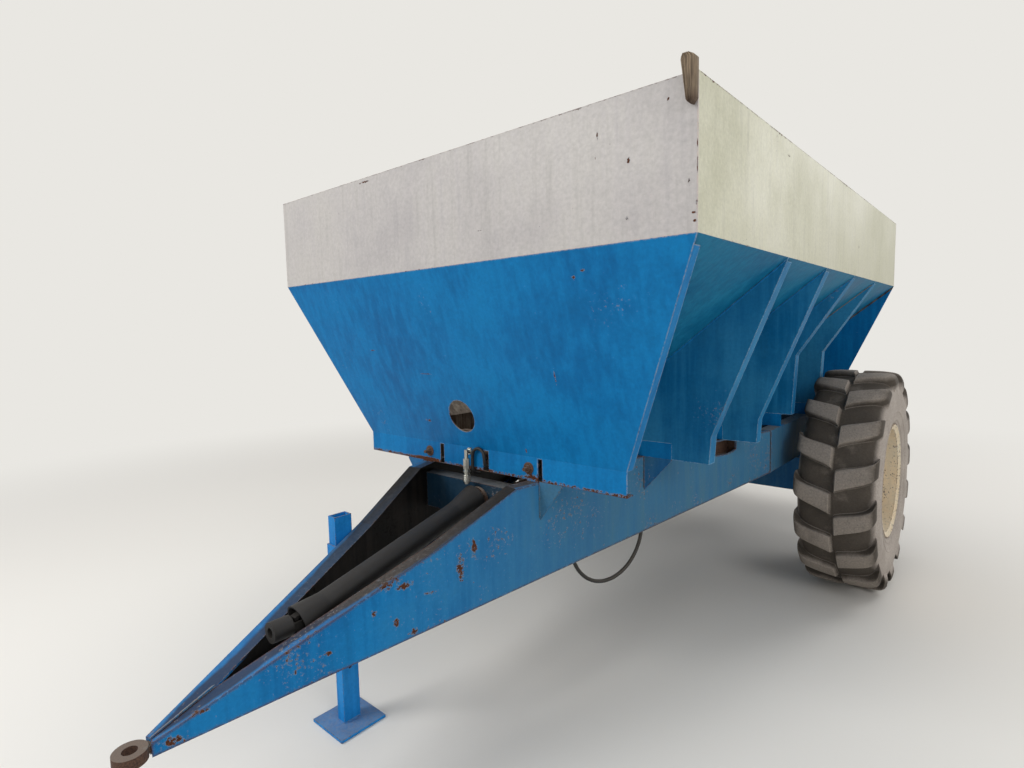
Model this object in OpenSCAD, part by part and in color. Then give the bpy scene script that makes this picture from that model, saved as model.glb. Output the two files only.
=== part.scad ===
// Trailed manure spreader: a steel hopper with a floor conveyor and two spinning discs behind,
// carried on two big wheels, a plate drawbar and a drop-leg parking stand.
// +X is the machine's left side, +Y points to the rear and +Z up. The ground is z = 0.

/* [Hopper] */
// Width over the upright side boards
hopper_w = 2320; // [2200:10:2400]
// Length of the hopper from its front board to its rear wall
hopper_len = 3400; // [3300:10:3600]
// Height of the upright boards round the rim
board_h = 442; // [350:2:520]
// Rise of the sloping sides from the conveyor channel to the boards
slope_rise = 684; // [640:2:700]
// Thickness of the hopper's sheet steel
sheet_t = 5; // [4:0.5:6]
// Distance that the front wall leans back towards its foot
front_lean = 250; // [230:2:260]
// Width of the front wall at its foot
front_foot_w = 1574; // [1540:2:1620]
// Height of the upright strip at the foot of the front wall
strip_h = 100; // [95:1:104]
// Width of the lip folded in along the rim
rim_lip = 30; // [20:1:40]
// Width of the stiffening flange along the front wall's edges
edge_flange = 45; // [30:1:60]
// Diameter of the inspection hole in the front wall
hole_d = 157; // [120:1:170]
// Height of the inspection hole above the conveyor floor
hole_rise = 150; // [120:1:200]
// Sideways place of the inspection hole
hole_x = -36; // [-60:1:60]
// Sideways place of the hydraulic coupler on the front wall
coupler_x = -30; // [-60:1:-10]
// Width of the slots in the strip at the front wall's foot
slot_w = 25; // [18:1:30]

/* [Ribs] */
// Place of the first rib behind the front board
rib_first = 863; // [800:1:900]
// Spacing of the ribs along the machine
rib_pitch = 613; // [590:1:620]
// Thickness of the rib plates
rib_t = 6; // [5:0.5:10]
// Width of the flange folded along each rib's outer edge
rib_flange = 62; // [40:1:80]
// Half the width over the feet of the ribs
rib_foot_x = 846; // [830:1:852]
// Half the width over the cross bearers between the front ribs' feet
foot_in_x = 667; // [640:1:690]
// Height above the frame at which a front rib's edge turns upright
foot_h = 125; // [100:1:150]
// Height above the frame of the bend in the rear ribs' edges
rear_bend_h = 430; // [380:1:480]
// Height of the cross bearers under the conveyor floor
bearer_h = 75; // [70:1:78]

/* [Conveyor] */
// Height of the conveyor floor above the ground
floor_z = 1150; // [1140:1:1160]
// Width of the conveyor channel
channel_w = 590; // [560:2:610]
// Height of the channel's sides above the conveyor floor
channel_h = 112; // [100:1:130]
// Radius of the chain's path round the sprockets
sprocket_r = 50; // [46:1:52]
// Thickness of the chain's links
chain_t = 14; // [10:1:16]
// Width of each chain
chain_w = 30; // [20:1:40]
// Distance between the two chains
chain_gap = 380; // [300:5:440]
// Length of the slats across the chains
slat_len = 560; // [500:5:576]
// Height of the slats above the chain
slat_h = 20; // [12:1:20]
// Depth of the slats along the machine
slat_d = 40; // [20:1:50]
// Spacing of the slats along the chain
slat_pitch = 300; // [200:10:400]
// Place of the front sprocket shaft behind the front board
front_shaft_y = 352; // [350:1:360]
// Distance of the rear sprocket shaft behind the hopper
rear_shaft_back = 160; // [150:1:180]
// Radius of the sprocket shafts
sprocket_shaft_r = 20; // [16:1:24]
// Size across of the bearing blocks on the front sprocket shaft
block_size = 70; // [60:1:74]

/* [Frame] */
// Half the width over the frame's rear rails
rail_x = 787; // [775:1:795]
// Depth of the rear rails
rail_depth = 252; // [240:1:260]
// Plate thickness of the frame
plate_t = 8; // [6:0.5:10]
// Width of the frame's folded flanges
flange_w = 70; // [60:1:76]
// Place of the bend where the drawbar beams meet the rails
kink_y = 1906; // [1880:2:1930]
// Distance that the frame reaches past the hopper's rear wall
rail_over = 20; // [10:1:40]
// Distance of the drawbar's nose ahead of the front board
nose_out = 1124; // [1100:2:1150]
// Half the width of the drawbar's nose
nose_half = 24; // [22:0.5:32]
// Height of the nose's lower edge
nose_low_z = 474; // [462:1:480]
// Height of the nose's upper edge
nose_top_z = 516; // [512:1:540]
// Distance ahead of the front board of the bend in the drawbar's upper edge
bend_out = 213; // [180:1:240]
// Height of the upper edge at the bend
bend_top_z = 871; // [860:1:885]
// Place of the bend where the upper edge levels out ahead of the front wall
level_y = 136; // [110:1:160]
// Height of the upper edge there
level_z = 1038; // [1025:1:1044]
// Height of the cross-members between the beams
cross_h = 173; // [165:1:176]
// Depth of the cross-members along the machine
cross_d = 80; // [60:1:90]
// Thickness of the triangular gussets on the beams
gusset_t = 8; // [6:0.5:10]
// Place of the cross-member at the drawbar's middle
middle_cross_y = 1250; // [1200:5:1300]

/* [Hitch and stand] */
// Radius of the hole in the hitch eye
eye_bore_r = 21; // [18:0.5:25]
// Outer radius of the hitch eye
eye_r = 46; // [40:1:54]
// Thickness of the hitch eye
eye_h = 34; // [26:1:40]
// Gap between the hitch eye and the drawbar's nose
eye_gap = 2; // [1:0.5:8]
// Width of the stand's leg across the machine
leg_w = 50; // [40:1:56]
// Depth of the stand's leg along the machine
leg_d = 80; // [70:1:100]
// Height of the leg's top above the ground
leg_top_z = 920; // [900:1:960]
// Gap between the stand's sleeve and the right-hand beam
stand_gap = 6; // [4:0.5:12]
// Distance of the stand ahead of the front board
stand_out = 290; // [270:1:310]
// Width of the stand's square foot
foot_w = 220; // [160:5:260]
// Travel of the stand's leg
leg_travel = 450; // [300:75:450]

/* [Wheels] */
// Diameter of the tyres over their lugs
tyre_d = 1385; // [1360:1:1400]
// Width of the tyres
tyre_w = 430; // [400:2:436]
// Height of the tyre lugs
lug_h = 36; // [30:1:42]
// Number of lugs on each side of a tyre
lug_count = 16; // [14:1:18]
// Width of a lug round the tyre
lug_w = 120; // [90:2:140]
// Rise of a lug round the tyre from its middle to its shoulder
lug_rise = 115; // [90:5:130]
// Thickness of the tyres' casing
tyre_wall = 24; // [16:1:28]
// Distance between the middles of the two tyres
track_w = 2192; // [2184:1:2240]
// Place of the axle behind the front board
axle_y = 2656; // [2600:2:2680]
// Radius of the rim's tyre seat
rim_seat_r = 330; // [320:1:340]
// Width of the rim
rim_w = 390; // [360:1:396]
// Thickness of the rim's steel
rim_t = 7; // [5:0.5:9]
// Depth of the axle box along the machine
axle_box_d = 200; // [160:2:220]
// Height of the axle box
axle_box_h = 225; // [200:1:240]
// Height of the pads between the axle box and the rails
axle_pad_h = 28; // [20:1:34]
// Radius of the stub axles
stub_r = 45; // [36:1:50]

/* [Spreading gear] */
// Radius of the spinning discs
disc_r = 320; // [280:2:330]
// Half the distance between the discs' shafts
disc_x = 336; // [334:1:345]
// Distance of the discs' shafts behind the hopper
disc_back = 430; // [425:1:460]
// Height of the discs above the ground
disc_z = 815; // [800:1:825]
// Thickness of the discs
disc_t = 6; // [5:0.5:8]
// Height of the vanes on the discs
vane_h = 62; // [40:1:80]
// Number of vanes on each disc
vane_count = 6; // [4:1:8]
// Height of the drive line under the floor
drive_z = 905; // [900:1:910]
// Radius of the drive shafts
drive_r = 25; // [20:1:28]
// Width of the gate behind the hopper
gate_w = 650; // [630:2:680]
// Height of the outlet's top above the conveyor floor
outlet_h = 490; // [420:5:540]
// Travel of the gate
gate_travel = 450; // [300:10:450]
// Outer radius of the gate's lifting ram
ram_r = 34; // [28:1:40]

/* [Hidden] */

// Paint and metal colours
blue = "#1777BC";
white = "#D9D6CC";
cream = "#E5D3B0";
rubber = "#5E5A55";
steel = "#6B6864";
dark = "#2E2D2C";
timber = "#7A7064";

// Small clearance between pieces that seat on each other, and the play of shafts in their bores
fit = 0.3;
run_play = 0.1;
slide_play = 0.8;

// Heights that follow from the floor
frame_z = floor_z - sheet_t - bearer_h;
rail_low_z = frame_z - rail_depth;
rail_end = hopper_len + rail_over;
throat_z = floor_z + channel_h;
board_z = throat_z + slope_rise;
rim_z = board_z + board_h;
strip_z = floor_z - strip_h;
half_w = hopper_w / 2;
half_channel = channel_w / 2;
front_half = front_foot_w / 2;

// Sideways thickness of the sloping side sheets
slope_ratio = (half_w - half_channel - sheet_t) / slope_rise;
slope_t = sheet_t * sqrt(1 + slope_ratio * slope_ratio);

// Drawbar beams: plan angle, and the places across and along a beam
nose_y = -nose_out;
bend_y = -bend_out;
beam_a = atan((rail_x - nose_half) / (kink_y - nose_y));
function outer_x(y) = nose_half + (y - nose_y) * tan(beam_a);
function web_in_x(y) = outer_x(y) - plate_t / cos(beam_a);
function flange_in_x(y) = outer_x(y) - flange_w / cos(beam_a);
function along(y) = (y - nose_y) / cos(beam_a);
rise_y = rib_first - 10;
function beam_top_z(y) = level_z + (y - level_y) * (frame_z - level_z) / (rise_y - level_y);
function beam_low_z(y) = nose_low_z + (y - nose_y) * (rail_low_z - nose_low_z) / (kink_y - nose_y);
function reversed(list) = [for (i = [len(list) - 1:-1:0]) list[i]];

// Ribs: place, outer edge's bend (x, z), height of the foot's bottom, half width of the bearer under it
rear_bend_x = rib_foot_x + 19;
rib_table = [
  [rib_first, [rib_foot_x + 9, frame_z + foot_h], frame_z, foot_in_x],
  [rib_first + rib_pitch, [rib_foot_x + 9, frame_z + foot_h], frame_z, foot_in_x],
  [rib_first + 2 * rib_pitch, [rear_bend_x, frame_z + rear_bend_h], frame_z + bearer_h, rail_x],
  [rib_first + 3 * rib_pitch, [rear_bend_x, frame_z + rear_bend_h], frame_z + bearer_h, rail_x]];

// Conveyor shafts and chain
sprocket_z = floor_z + fit - sprocket_r;
rear_shaft_y = hopper_len + rear_shaft_back;
chain_out_r = sprocket_r + chain_t;
slat_out_r = chain_out_r + slat_h;

// Cross-members: between the drawbar beams, and on the lower flanges of the rear rails
cross_low_z = drive_z - cross_h / 2 - 8;
rail_cross_z = rail_low_z + plate_t + fit;
cross_rear_y = rail_end - 10 - cross_d;
beam_cross_y = [front_lean + 14, middle_cross_y];
rail_cross_y = kink_y + 60;
cross_table = concat(beam_cross_y, [rail_cross_y]);
bearing_t = 16;
bearing_r = 62;
shaft_hole_r = 50;

// Hitch and stand
eye_z = (nose_low_z + nose_top_z) / 2;
shank_half = nose_half - plate_t / cos(beam_a) - fit;
eye_out = eye_r + eye_gap;
shank_h = 22;
shank_len = 240;
sleeve_t = 6;
sleeve_z = 610;
sleeve_h = 190;
bracket_t = 10;
leg_t = 5;
foot_t = 12;
pin_r = 9;
pin_z = sleeve_z + sleeve_h / 2;
pin_step = 75;
sleeve_half = leg_w / 2 + slide_play + sleeve_t;
stand_x = outer_x(leg_d / 2 + slide_play + sleeve_t - stand_out) + stand_gap + sleeve_half;

// Wheels
tyre_r = tyre_d / 2;
axle_z = tyre_r;
wheel_x = track_w / 2;
crown_r = tyre_r - lug_h;
axle_top_z = rail_low_z - axle_pad_h;
axle_low_z = axle_top_z - axle_box_h;
axle_end_x = rail_x + 13;
stub_flange_t = 16;
disc_face_x = wheel_x + 12;
hub_r = 88;
hub_len = 200;
hub_back = 150;
hub_flange_r = 165;
stud_circle_r = 137.5;
stud_count = 8;

// Spreading gear
disc_y = hopper_len + disc_back;
gear_z = disc_z - 95;
gear_size = 170;
gear_front_y = disc_y - gear_size / 2 - 10;
joint_y = rail_cross_y + cross_d + 60;
rear_shaft_a = atan((drive_z - gear_z) / (gear_front_y - joint_y));
rear_shaft_len = (gear_front_y - joint_y) / cos(rear_shaft_a);
gear_below = 70;
gear_case_h = 130;
arm_size = 60;
arm_z = gear_z - gear_below - arm_size;
shield_r = disc_y - (cross_rear_y + cross_d) - fit;
shield_t = 4;
shield_h = 200;
spindle_r = 20;
spindle_low_z = disc_z - 95;
spindle_top_z = disc_z;

// Gate and ram
gate_t = 6;
gate_y = hopper_len + slide_play;
gate_low_z = floor_z + fit + chain_t + slat_h + 6;
gate_h = outlet_h - (gate_low_z - floor_z) + 50;
gate_rib_d = 30;
lug_z = gate_low_z + 60;
ram_y = gate_y + gate_t + gate_rib_d + ram_r + 7;
ram_wall = 7;
ram_top_z = rim_z - 55;
ram_low_z = lug_z + gate_travel + 45;
rod_r = 15;
eye_pin_r = 12;

// The whole machine is shifted so that its middle lies over the origin
front_end_y = nose_y - eye_out - eye_r;
rear_end_y = disc_y + disc_r;
shift_y = -(front_end_y + rear_end_y) / 2;

module place() {
  translate([0, shift_y, 0]) children();
}

module mirrored(side) {
  if (side < 0) mirror([1, 0, 0]) children();
  else children();
}

// A plate cut to an outline across the machine, standing from y to y + t
module across(y, t) {
  translate([0, y + t, 0]) rotate([90, 0, 0]) linear_extrude(t) children();
}

// A plate cut to a side outline (y, z), standing from x to x + t
module sideways(x, t) {
  translate([x, 0, 0]) rotate([90, 0, 90]) linear_extrude(t) children();
}

// A round bar along the machine
module bar_y(x, y, z, r, l) {
  translate([x, y, z]) rotate([-90, 0, 0]) cylinder(r = r, h = l, $fn = 64);
}

// A round bar across the machine
module bar_x(x, y, z, r, l) {
  translate([x, y, z]) rotate([0, 90, 0]) cylinder(r = r, h = l, $fn = 64);
}

// Upright boards with a lip folded in along the rim
module board_front() {
  color(white) place() union() {
    translate([-half_w, 0, board_z]) cube([hopper_w, sheet_t, board_h]);
    translate([sheet_t - half_w, 0, rim_z - sheet_t]) cube([hopper_w - 2 * sheet_t, rim_lip, sheet_t]);
  }
}

module board_side(side) {
  color(white) place() mirrored(side) union() {
    translate([half_w - sheet_t, sheet_t, board_z]) cube([sheet_t, hopper_len - 2 * sheet_t, board_h - sheet_t]);
    translate([half_w - rim_lip, rim_lip, rim_z - sheet_t])
      cube([rim_lip - sheet_t, hopper_len - 2 * rim_lip, sheet_t]);
    translate([half_w - sheet_t, sheet_t, rim_z - sheet_t]) cube([sheet_t, hopper_len - 2 * sheet_t, sheet_t]);
  }
}

module board_rear() {
  color(white) place() union() {
    translate([-half_w, hopper_len - sheet_t, board_z]) cube([hopper_w, sheet_t, board_h]);
    translate([sheet_t - half_w, hopper_len - rim_lip, rim_z - sheet_t])
      cube([hopper_w - 2 * sheet_t, rim_lip, sheet_t]);
    // Ears that hold the top of the gate's ram
    for (x = [-34, 22])
      translate([x, hopper_len, ram_top_z - 26]) cube([12, ram_y - hopper_len + 22, 44]);
    bar_x(-34, ram_y, ram_top_z, eye_pin_r, 68);
  }
}

// Leaning front wall, folded upright at its foot, with two feet that stand on the drawbar beams
slot_table = [[-226, slot_w], [65, slot_w + 9], [376, slot_w]];
module front_wall() {
  foot_out = outer_x(front_lean) - 4;
  foot_in = flange_in_x(front_lean) + 8;
  lip_x = outer_x(front_lean) + 20;
  color(blue) place() difference() {
    union() {
      intersection() {
        sideways(-half_w, hopper_w)
          polygon([[0, board_z], [front_lean, floor_z], [front_lean, strip_z], [front_lean + sheet_t, strip_z],
            [front_lean + sheet_t, floor_z], [sheet_t, board_z]]);
        across(-1, front_lean + sheet_t + 2)
          polygon([[-front_half, strip_z], [front_half, strip_z], [front_half, floor_z], [half_w, board_z],
            [-half_w, board_z], [-front_half, floor_z]]);
      }
      // Stiffening flanges behind both slanting edges
      for (side = [-1, 1])
        mirrored(side) intersection() {
          sideways(front_half - 20, half_w)
            polygon([[sheet_t / 2, board_z], [front_lean + sheet_t / 2, floor_z],
              [front_lean + edge_flange, floor_z], [edge_flange, board_z]]);
          across(-1, front_lean + edge_flange + 2)
            polygon([[front_half, floor_z], [half_w - 14, board_z - 30], [half_w - 14 - sheet_t, board_z - 30],
              [front_half - sheet_t, floor_z]]);
        }
      // Bottom lips outside the beams
      for (side = [-1, 1])
        mirrored(side) translate([lip_x, front_lean, strip_z])
          cube([front_half - lip_x, edge_flange, sheet_t]);
      for (side = [-1, 1])
        mirrored(side) translate([foot_in, front_lean, beam_top_z(front_lean + sheet_t) + fit])
          cube([foot_out - foot_in, sheet_t, strip_z + 2 - beam_top_z(front_lean + sheet_t) - fit]);
    }
    // Inspection hole, square to the wall
    translate([hole_x, front_lean * (board_z - floor_z - hole_rise) / (board_z - floor_z), floor_z + hole_rise])
      rotate([90 + atan(front_lean / (board_z - floor_z)), 0, 0])
        cylinder(r = hole_d / 2, h = 90, center = true, $fn = 96);
    // Slots, columns are sideways place and width, and take-up bolt holes
    for (row = slot_table)
      translate([row[0] - row[1] / 2, front_lean - 1, strip_z + 1]) cube([row[1], sheet_t + 2, strip_h - 6]);
    for (side = [-1, 1])
      bar_y(side * take_up_x(), front_lean - 1, sprocket_z, 8.5, sheet_t + 2);
  }
}
function take_up_x() = half_channel + sheet_t + 16;

// Sloping side walls, trimmed to the leaning front wall
module side_wall(side) {
  color(blue) place() mirrored(side) difference() {
    across(0, hopper_len - sheet_t)
      polygon([[half_w, board_z], [half_w - slope_t, board_z], [half_channel + sheet_t - slope_t, throat_z],
        [half_channel + sheet_t, throat_z]]);
    sideways(0, half_w + 10)
      polygon([[-1, board_z + 1], [-1, floor_z], [front_lean + sheet_t, floor_z], [sheet_t, board_z],
        [sheet_t, board_z + 1]]);
  }
}

// Rear wall with the outlet cut out of its foot
module rear_wall() {
  foot_x = rail_x;
  foot_z = board_z - (half_w - foot_x) / 0.444;
  color(blue) place() across(hopper_len - sheet_t, sheet_t)
    difference() {
      polygon([[half_w, board_z], [foot_x, foot_z], [foot_x, frame_z], [-foot_x, frame_z], [-foot_x, foot_z],
        [-half_w, board_z]]);
      translate([-half_channel - sheet_t - fit, frame_z - 1])
        square([channel_w + 2 * sheet_t + 2 * fit, floor_z + outlet_h - frame_z + 1]);
    }
}

// Transverse ribs: a plate under the sloping side with a flange along its outer edge
module rib(row) {
  y = row[0];
  bend = row[1];
  low_z = row[2];
  inner_x = half_channel + sheet_t;
  bearer_top = frame_z + bearer_h;
  top_z = board_z - 14;
  top_x = bend[0] + (half_w - bend[0]) * (top_z - bend[1]) / (board_z - bend[1]);
  foot = low_z < bearer_top ? [[rib_foot_x, low_z], [foot_in_x, low_z], [foot_in_x, bearer_top]]
    : [[rib_foot_x, bearer_top]];
  across(y, rib_t)
    polygon(concat([[inner_x, throat_z], [half_w, board_z], bend], foot, [[inner_x, bearer_top]]));
  across(y, rib_flange)
    polygon([[top_x, top_z], bend, [rib_foot_x, low_z], [rib_foot_x - rib_t, low_z],
      [bend[0] - rib_t - 2, bend[1]], [top_x - rib_t - 1, top_z]]);
}

module ribs(side) {
  color(blue) place() mirrored(side) for (row = rib_table) rib(row);
}

// Channel-shaped bearers under the conveyor floor, one at each rib
module bearers() {
  color(blue) place() for (row = rib_table)
    sideways(-row[3], 2 * row[3])
      polygon([[row[0], frame_z], [row[0] + rib_flange, frame_z], [row[0] + rib_flange, frame_z + rib_t],
        [row[0] + rib_t, frame_z + rib_t], [row[0] + rib_t, frame_z + bearer_h - rib_t],
        [row[0] + rib_flange, frame_z + bearer_h - rib_t], [row[0] + rib_flange, frame_z + bearer_h],
        [row[0], frame_z + bearer_h]]);
}

module conveyor_floor() {
  start = front_shaft_y + sprocket_r + 15;
  color(steel) place() translate([-half_channel, start, floor_z - sheet_t])
    cube([channel_w, rear_shaft_y - sprocket_r - 12 - start, sheet_t]);
}

// Sides of the conveyor channel; they reach back past the hopper and carry the rear sprocket shaft
module channel_side(side) {
  cheek_low = sprocket_z - 45;
  cheek_top = gate_low_z - 8;
  color(blue) place() mirrored(side) difference() {
    sideways(half_channel, sheet_t)
      polygon([[front_lean + sheet_t, strip_z + 12], [front_lean + sheet_t, throat_z],
        [hopper_len - sheet_t, throat_z], [hopper_len - sheet_t, cheek_top], [rear_shaft_y + 70, cheek_top],
        [rear_shaft_y + 70, cheek_low], [hopper_len + 40, cheek_low], [hopper_len - 10, floor_z - sheet_t],
        [front_shaft_y + 80, floor_z - sheet_t], [front_shaft_y + 60, strip_z + 12]]);
    translate([half_channel - 1, front_shaft_y - 30, sprocket_z - sprocket_shaft_r - run_play])
      cube([sheet_t + 2, 60, 2 * (sprocket_shaft_r + run_play)]);
    bar_x(half_channel - 1, rear_shaft_y, sprocket_z, sprocket_shaft_r + run_play, sheet_t + 2);
  }
}

// Outline of a loop round both sprockets
module loop_outline(r) {
  translate([front_shaft_y, sprocket_z - r]) square([rear_shaft_y - front_shaft_y, 2 * r]);
  for (y = [front_shaft_y, rear_shaft_y])
    translate([y, sprocket_z]) circle(r = r, $fn = 64);
}

// Two chains in one fixed loop each, joined by the slats that drag the load to the rear
module conveyor() {
  slat_start = front_shaft_y + 90;
  color(steel) place() union() {
    for (side = [-1, 1])
      sideways(side * chain_gap / 2 - chain_w / 2, chain_w)
        difference() {
          loop_outline(chain_out_r);
          loop_outline(sprocket_r);
        }
    for (y = [slat_start:slat_pitch:rear_shaft_y - 60])
      for (z = [sprocket_z + chain_out_r - 4, sprocket_z - slat_out_r])
        translate([-slat_len / 2, y - slat_d / 2, z]) cube([slat_len, slat_d, slat_h + 4]);
  }
}

module sprocket_shaft(y, half_len) {
  bar_x(-half_len, y, sprocket_z, sprocket_shaft_r, 2 * half_len);
  for (side = [-1, 1])
    bar_x(side * chain_gap / 2 - chain_w / 3, y, sprocket_z, sprocket_r - fit, 2 * chain_w / 3);
}

module front_sprocket_shaft() {
  color(steel) place() difference() {
    union() {
      sprocket_shaft(front_shaft_y, half_channel + sheet_t + 34);
      // Bearing blocks that the take-up bolts push
      for (side = [-1, 1])
        mirrored(side) translate([half_channel + sheet_t + fit, front_shaft_y - block_size / 2, sprocket_z - 35])
          cube([32, block_size, 70]);
    }
  }
}

module rear_sprocket_shaft() {
  color(steel) place() union() {
    sprocket_shaft(rear_shaft_y, half_channel + sheet_t + 40);
    for (side = [-1, 1])
      mirrored(side) {
        bar_x(half_channel + sheet_t + fit, rear_shaft_y, sprocket_z, 42, 26);
        translate([half_channel + sheet_t + fit, rear_shaft_y - 60, sprocket_z - 30]) cube([10, 120, 60]);
      }
  }
}

// Bolts in the front wall that tighten the chains
module take_up_bolts() {
  bolt_r = 8;
  color(steel) place() for (side = [-1, 1])
    union() {
      bar_y(side * take_up_x(), front_lean - 34, sprocket_z, bolt_r, front_shaft_y - block_size / 2 - front_lean + 34);
      translate([side * take_up_x(), front_lean - 15, sprocket_z]) rotate([-90, 0, 0]) cylinder(r = 15, h = 13, $fn = 6);
      bar_y(side * take_up_x(), front_lean - 2 - fit, sprocket_z, 17, 2);
    }
}

// Drawbar beam: a deep tapered plate with flanges folded in along both edges
module beam_blank() {
  end_y = kink_y + 80;
  top_line = [[along(nose_y), nose_top_z], [along(bend_y), bend_top_z], [along(level_y), level_z],
    [along(rise_y), frame_z], [along(end_y), frame_z]];
  low_line = [[along(nose_y), nose_low_z], [along(kink_y), rail_low_z], [along(end_y), rail_low_z]];
  upper = [for (p = top_line) [p[0], p[1] - plate_t]];
  lower = [for (p = low_line) [p[0], p[1] + plate_t]];
  across(0, plate_t) polygon(concat(top_line, reversed(low_line)));
  across(0, flange_w) polygon(concat(top_line, reversed(upper)));
  across(0, flange_w) polygon(concat(lower, reversed(low_line)));
}

module drawbar_beam(side) {
  color(blue) place() mirrored(side) intersection() {
    translate([nose_half, nose_y, 0]) rotate([0, 0, 90 - beam_a]) beam_blank();
    translate([0, nose_y - 50, 0]) cube([rail_x + 50, kink_y - nose_y + 50, frame_z + 50]);
  }
}

module frame_rail(side) {
  color(blue) place() mirrored(side) union() {
    translate([rail_x - plate_t, kink_y, rail_low_z]) cube([plate_t, rail_end - kink_y, rail_depth]);
    for (z = [rail_low_z, frame_z - plate_t])
      translate([rail_x - flange_w, kink_y, z]) cube([flange_w - plate_t, rail_end - kink_y, plate_t]);
  }
}

// Cross-member: a channel with a hole for the drive line; half width in front and behind
module cross_member(y, front_half_w, rear_half_w, low_z) {
  top_z = low_z + cross_h;
  plan = [[-front_half_w, y], [front_half_w, y], [rear_half_w, y + cross_d], [-rear_half_w, y + cross_d]];
  difference() {
    translate([0, 0, low_z]) linear_extrude(cross_h) polygon(plan);
    translate([-rail_x, y + plate_t, low_z + plate_t]) cube([2 * rail_x, cross_d, cross_h - 2 * plate_t]);
    bar_y(0, y - 1, drive_z, shaft_hole_r, plate_t + 2);
  }
}

module cross_members() {
  rail_in = rail_x - plate_t - fit;
  color(blue) place() {
    for (y = beam_cross_y)
      cross_member(y, web_in_x(y) - fit, web_in_x(y + cross_d) - fit, cross_low_z);
    cross_member(rail_cross_y, rail_in, rail_in, rail_cross_z);
    difference() {
      translate([-rail_in, cross_rear_y, rail_cross_z]) cube([2 * rail_in, cross_d, cross_h]);
      translate([-rail_x, cross_rear_y + plate_t, rail_cross_z + plate_t])
        cube([2 * rail_x, cross_d - 2 * plate_t, cross_h - 2 * plate_t]);
    }
  }
}

// Triangular gussets that reach out from the beams to the front wall and to the first rib's foot
module gussets() {
  // Columns: place, height of the upper edge, sideways reach from the beam, height
  rows = [[front_lean + 1, strip_z, 126, 165], [rib_first + 1, frame_z, foot_in_x + 8 - outer_x(rib_first), 165]];
  color(blue) place() for (side = [-1, 1])
    mirrored(side) for (row = rows) {
      x = outer_x(row[0] + gusset_t) + fit;
      across(row[0], gusset_t)
        polygon([[x, row[1]], [x + row[2] - 12, row[1]], [x + row[2] - 12, row[1] - 8], [x, row[1] - row[3]]]);
    }
}

// Towing eye forged on a shank that lies between the beams, on their lower flanges
module hitch_eye() {
  eye_y = nose_y - eye_out;
  end_y = eye_y + shank_len;
  end_z = beam_low_z(end_y) + plate_t + fit;
  color(steel) place() difference() {
    union() {
      translate([0, eye_y, eye_z - eye_h / 2]) cylinder(r = eye_r, h = eye_h, $fn = 96);
      sideways(-shank_half, 2 * shank_half)
        polygon([[eye_y, eye_z - shank_h / 2], [nose_y, eye_z - shank_h / 2], [end_y, end_z], [end_y, end_z + shank_h],
          [nose_y, eye_z + shank_h / 2], [eye_y, eye_z + shank_h / 2]]);
    }
    translate([0, eye_y, eye_z - eye_h]) cylinder(r = eye_bore_r, h = 2 * eye_h, $fn = 96);
  }
}

// Parking stand: a box-section leg that slides in a sleeve on the outside of the right-hand beam
module stand_sleeve() {
  y0 = -stand_out - leg_d / 2 - slide_play - sleeve_t;
  d = leg_d + 2 * slide_play + 2 * sleeve_t;
  w = 2 * sleeve_half;
  x0 = stand_x - sleeve_half;
  x1 = x0 + w;
  color(blue) place() mirror([1, 0, 0]) difference() {
    union() {
      translate([x0, y0, sleeve_z]) cube([w, d, sleeve_h]);
      // Plates from the sleeve to the beam's web
      for (z = [sleeve_z, sleeve_z + sleeve_h - bracket_t])
        translate([0, 0, z]) linear_extrude(bracket_t)
          polygon([[stand_x, y0], [outer_x(y0) + fit, y0], [outer_x(y0 + d) + fit, y0 + d], [stand_x, y0 + d]]);
      bar_x(x1, -stand_out, pin_z, pin_r, 26);
      bar_x(x1 + 26, -stand_out, pin_z, 1.8 * pin_r, 8);
    }
    translate([x0 + sleeve_t, y0 + sleeve_t, sleeve_z - 1]) cube([w - 2 * sleeve_t, d - 2 * sleeve_t, sleeve_h + 2]);
  }
}

module stand_leg() {
  color(blue) place() translate([-stand_x, -stand_out, 0]) difference() {
    union() {
      translate([-leg_w / 2, -leg_d / 2, foot_t]) cube([leg_w, leg_d, leg_top_z - foot_t]);
      translate([-foot_w / 2, -foot_w / 2, 0]) cube([foot_w, foot_w, foot_t]);
    }
    translate([leg_t - leg_w / 2, leg_t - leg_d / 2, foot_t]) cube([leg_w - 2 * leg_t, leg_d - 2 * leg_t, leg_top_z]);
    // Row of holes for the stand's pin, down to the one that holds the leg fully raised
    for (i = [0:leg_travel / pin_step])
      bar_x(-leg_w, 0, pin_z - i * pin_step, pin_r + fit, 2 * leg_w);
  }
}

// Axle: a folded box under the rails with pads on top
module axle_box() {
  y0 = axle_y - axle_box_d / 2;
  pad_w = 100;
  color(blue) place() union() {
    difference() {
      translate([-axle_end_x, y0, axle_low_z]) cube([2 * axle_end_x, axle_box_d, axle_box_h]);
      translate([plate_t - axle_end_x, y0 + plate_t, axle_low_z + plate_t])
        cube([2 * (axle_end_x - plate_t), axle_box_d - 2 * plate_t, axle_box_h - 2 * plate_t]);
    }
    for (side = [-1, 1])
      mirrored(side) translate([rail_x - pad_w, y0 + 20, axle_top_z]) cube([pad_w, axle_box_d - 40, axle_pad_h]);
  }
}

module stub_axles() {
  color(steel) place() for (side = [-1, 1])
    mirrored(side) union() {
      bar_x(axle_end_x, axle_y, axle_z, stub_r + 35, stub_flange_t);
      bar_x(axle_end_x, axle_y, axle_z, stub_r, disc_face_x + 40 - axle_end_x);
    }
}

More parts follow.
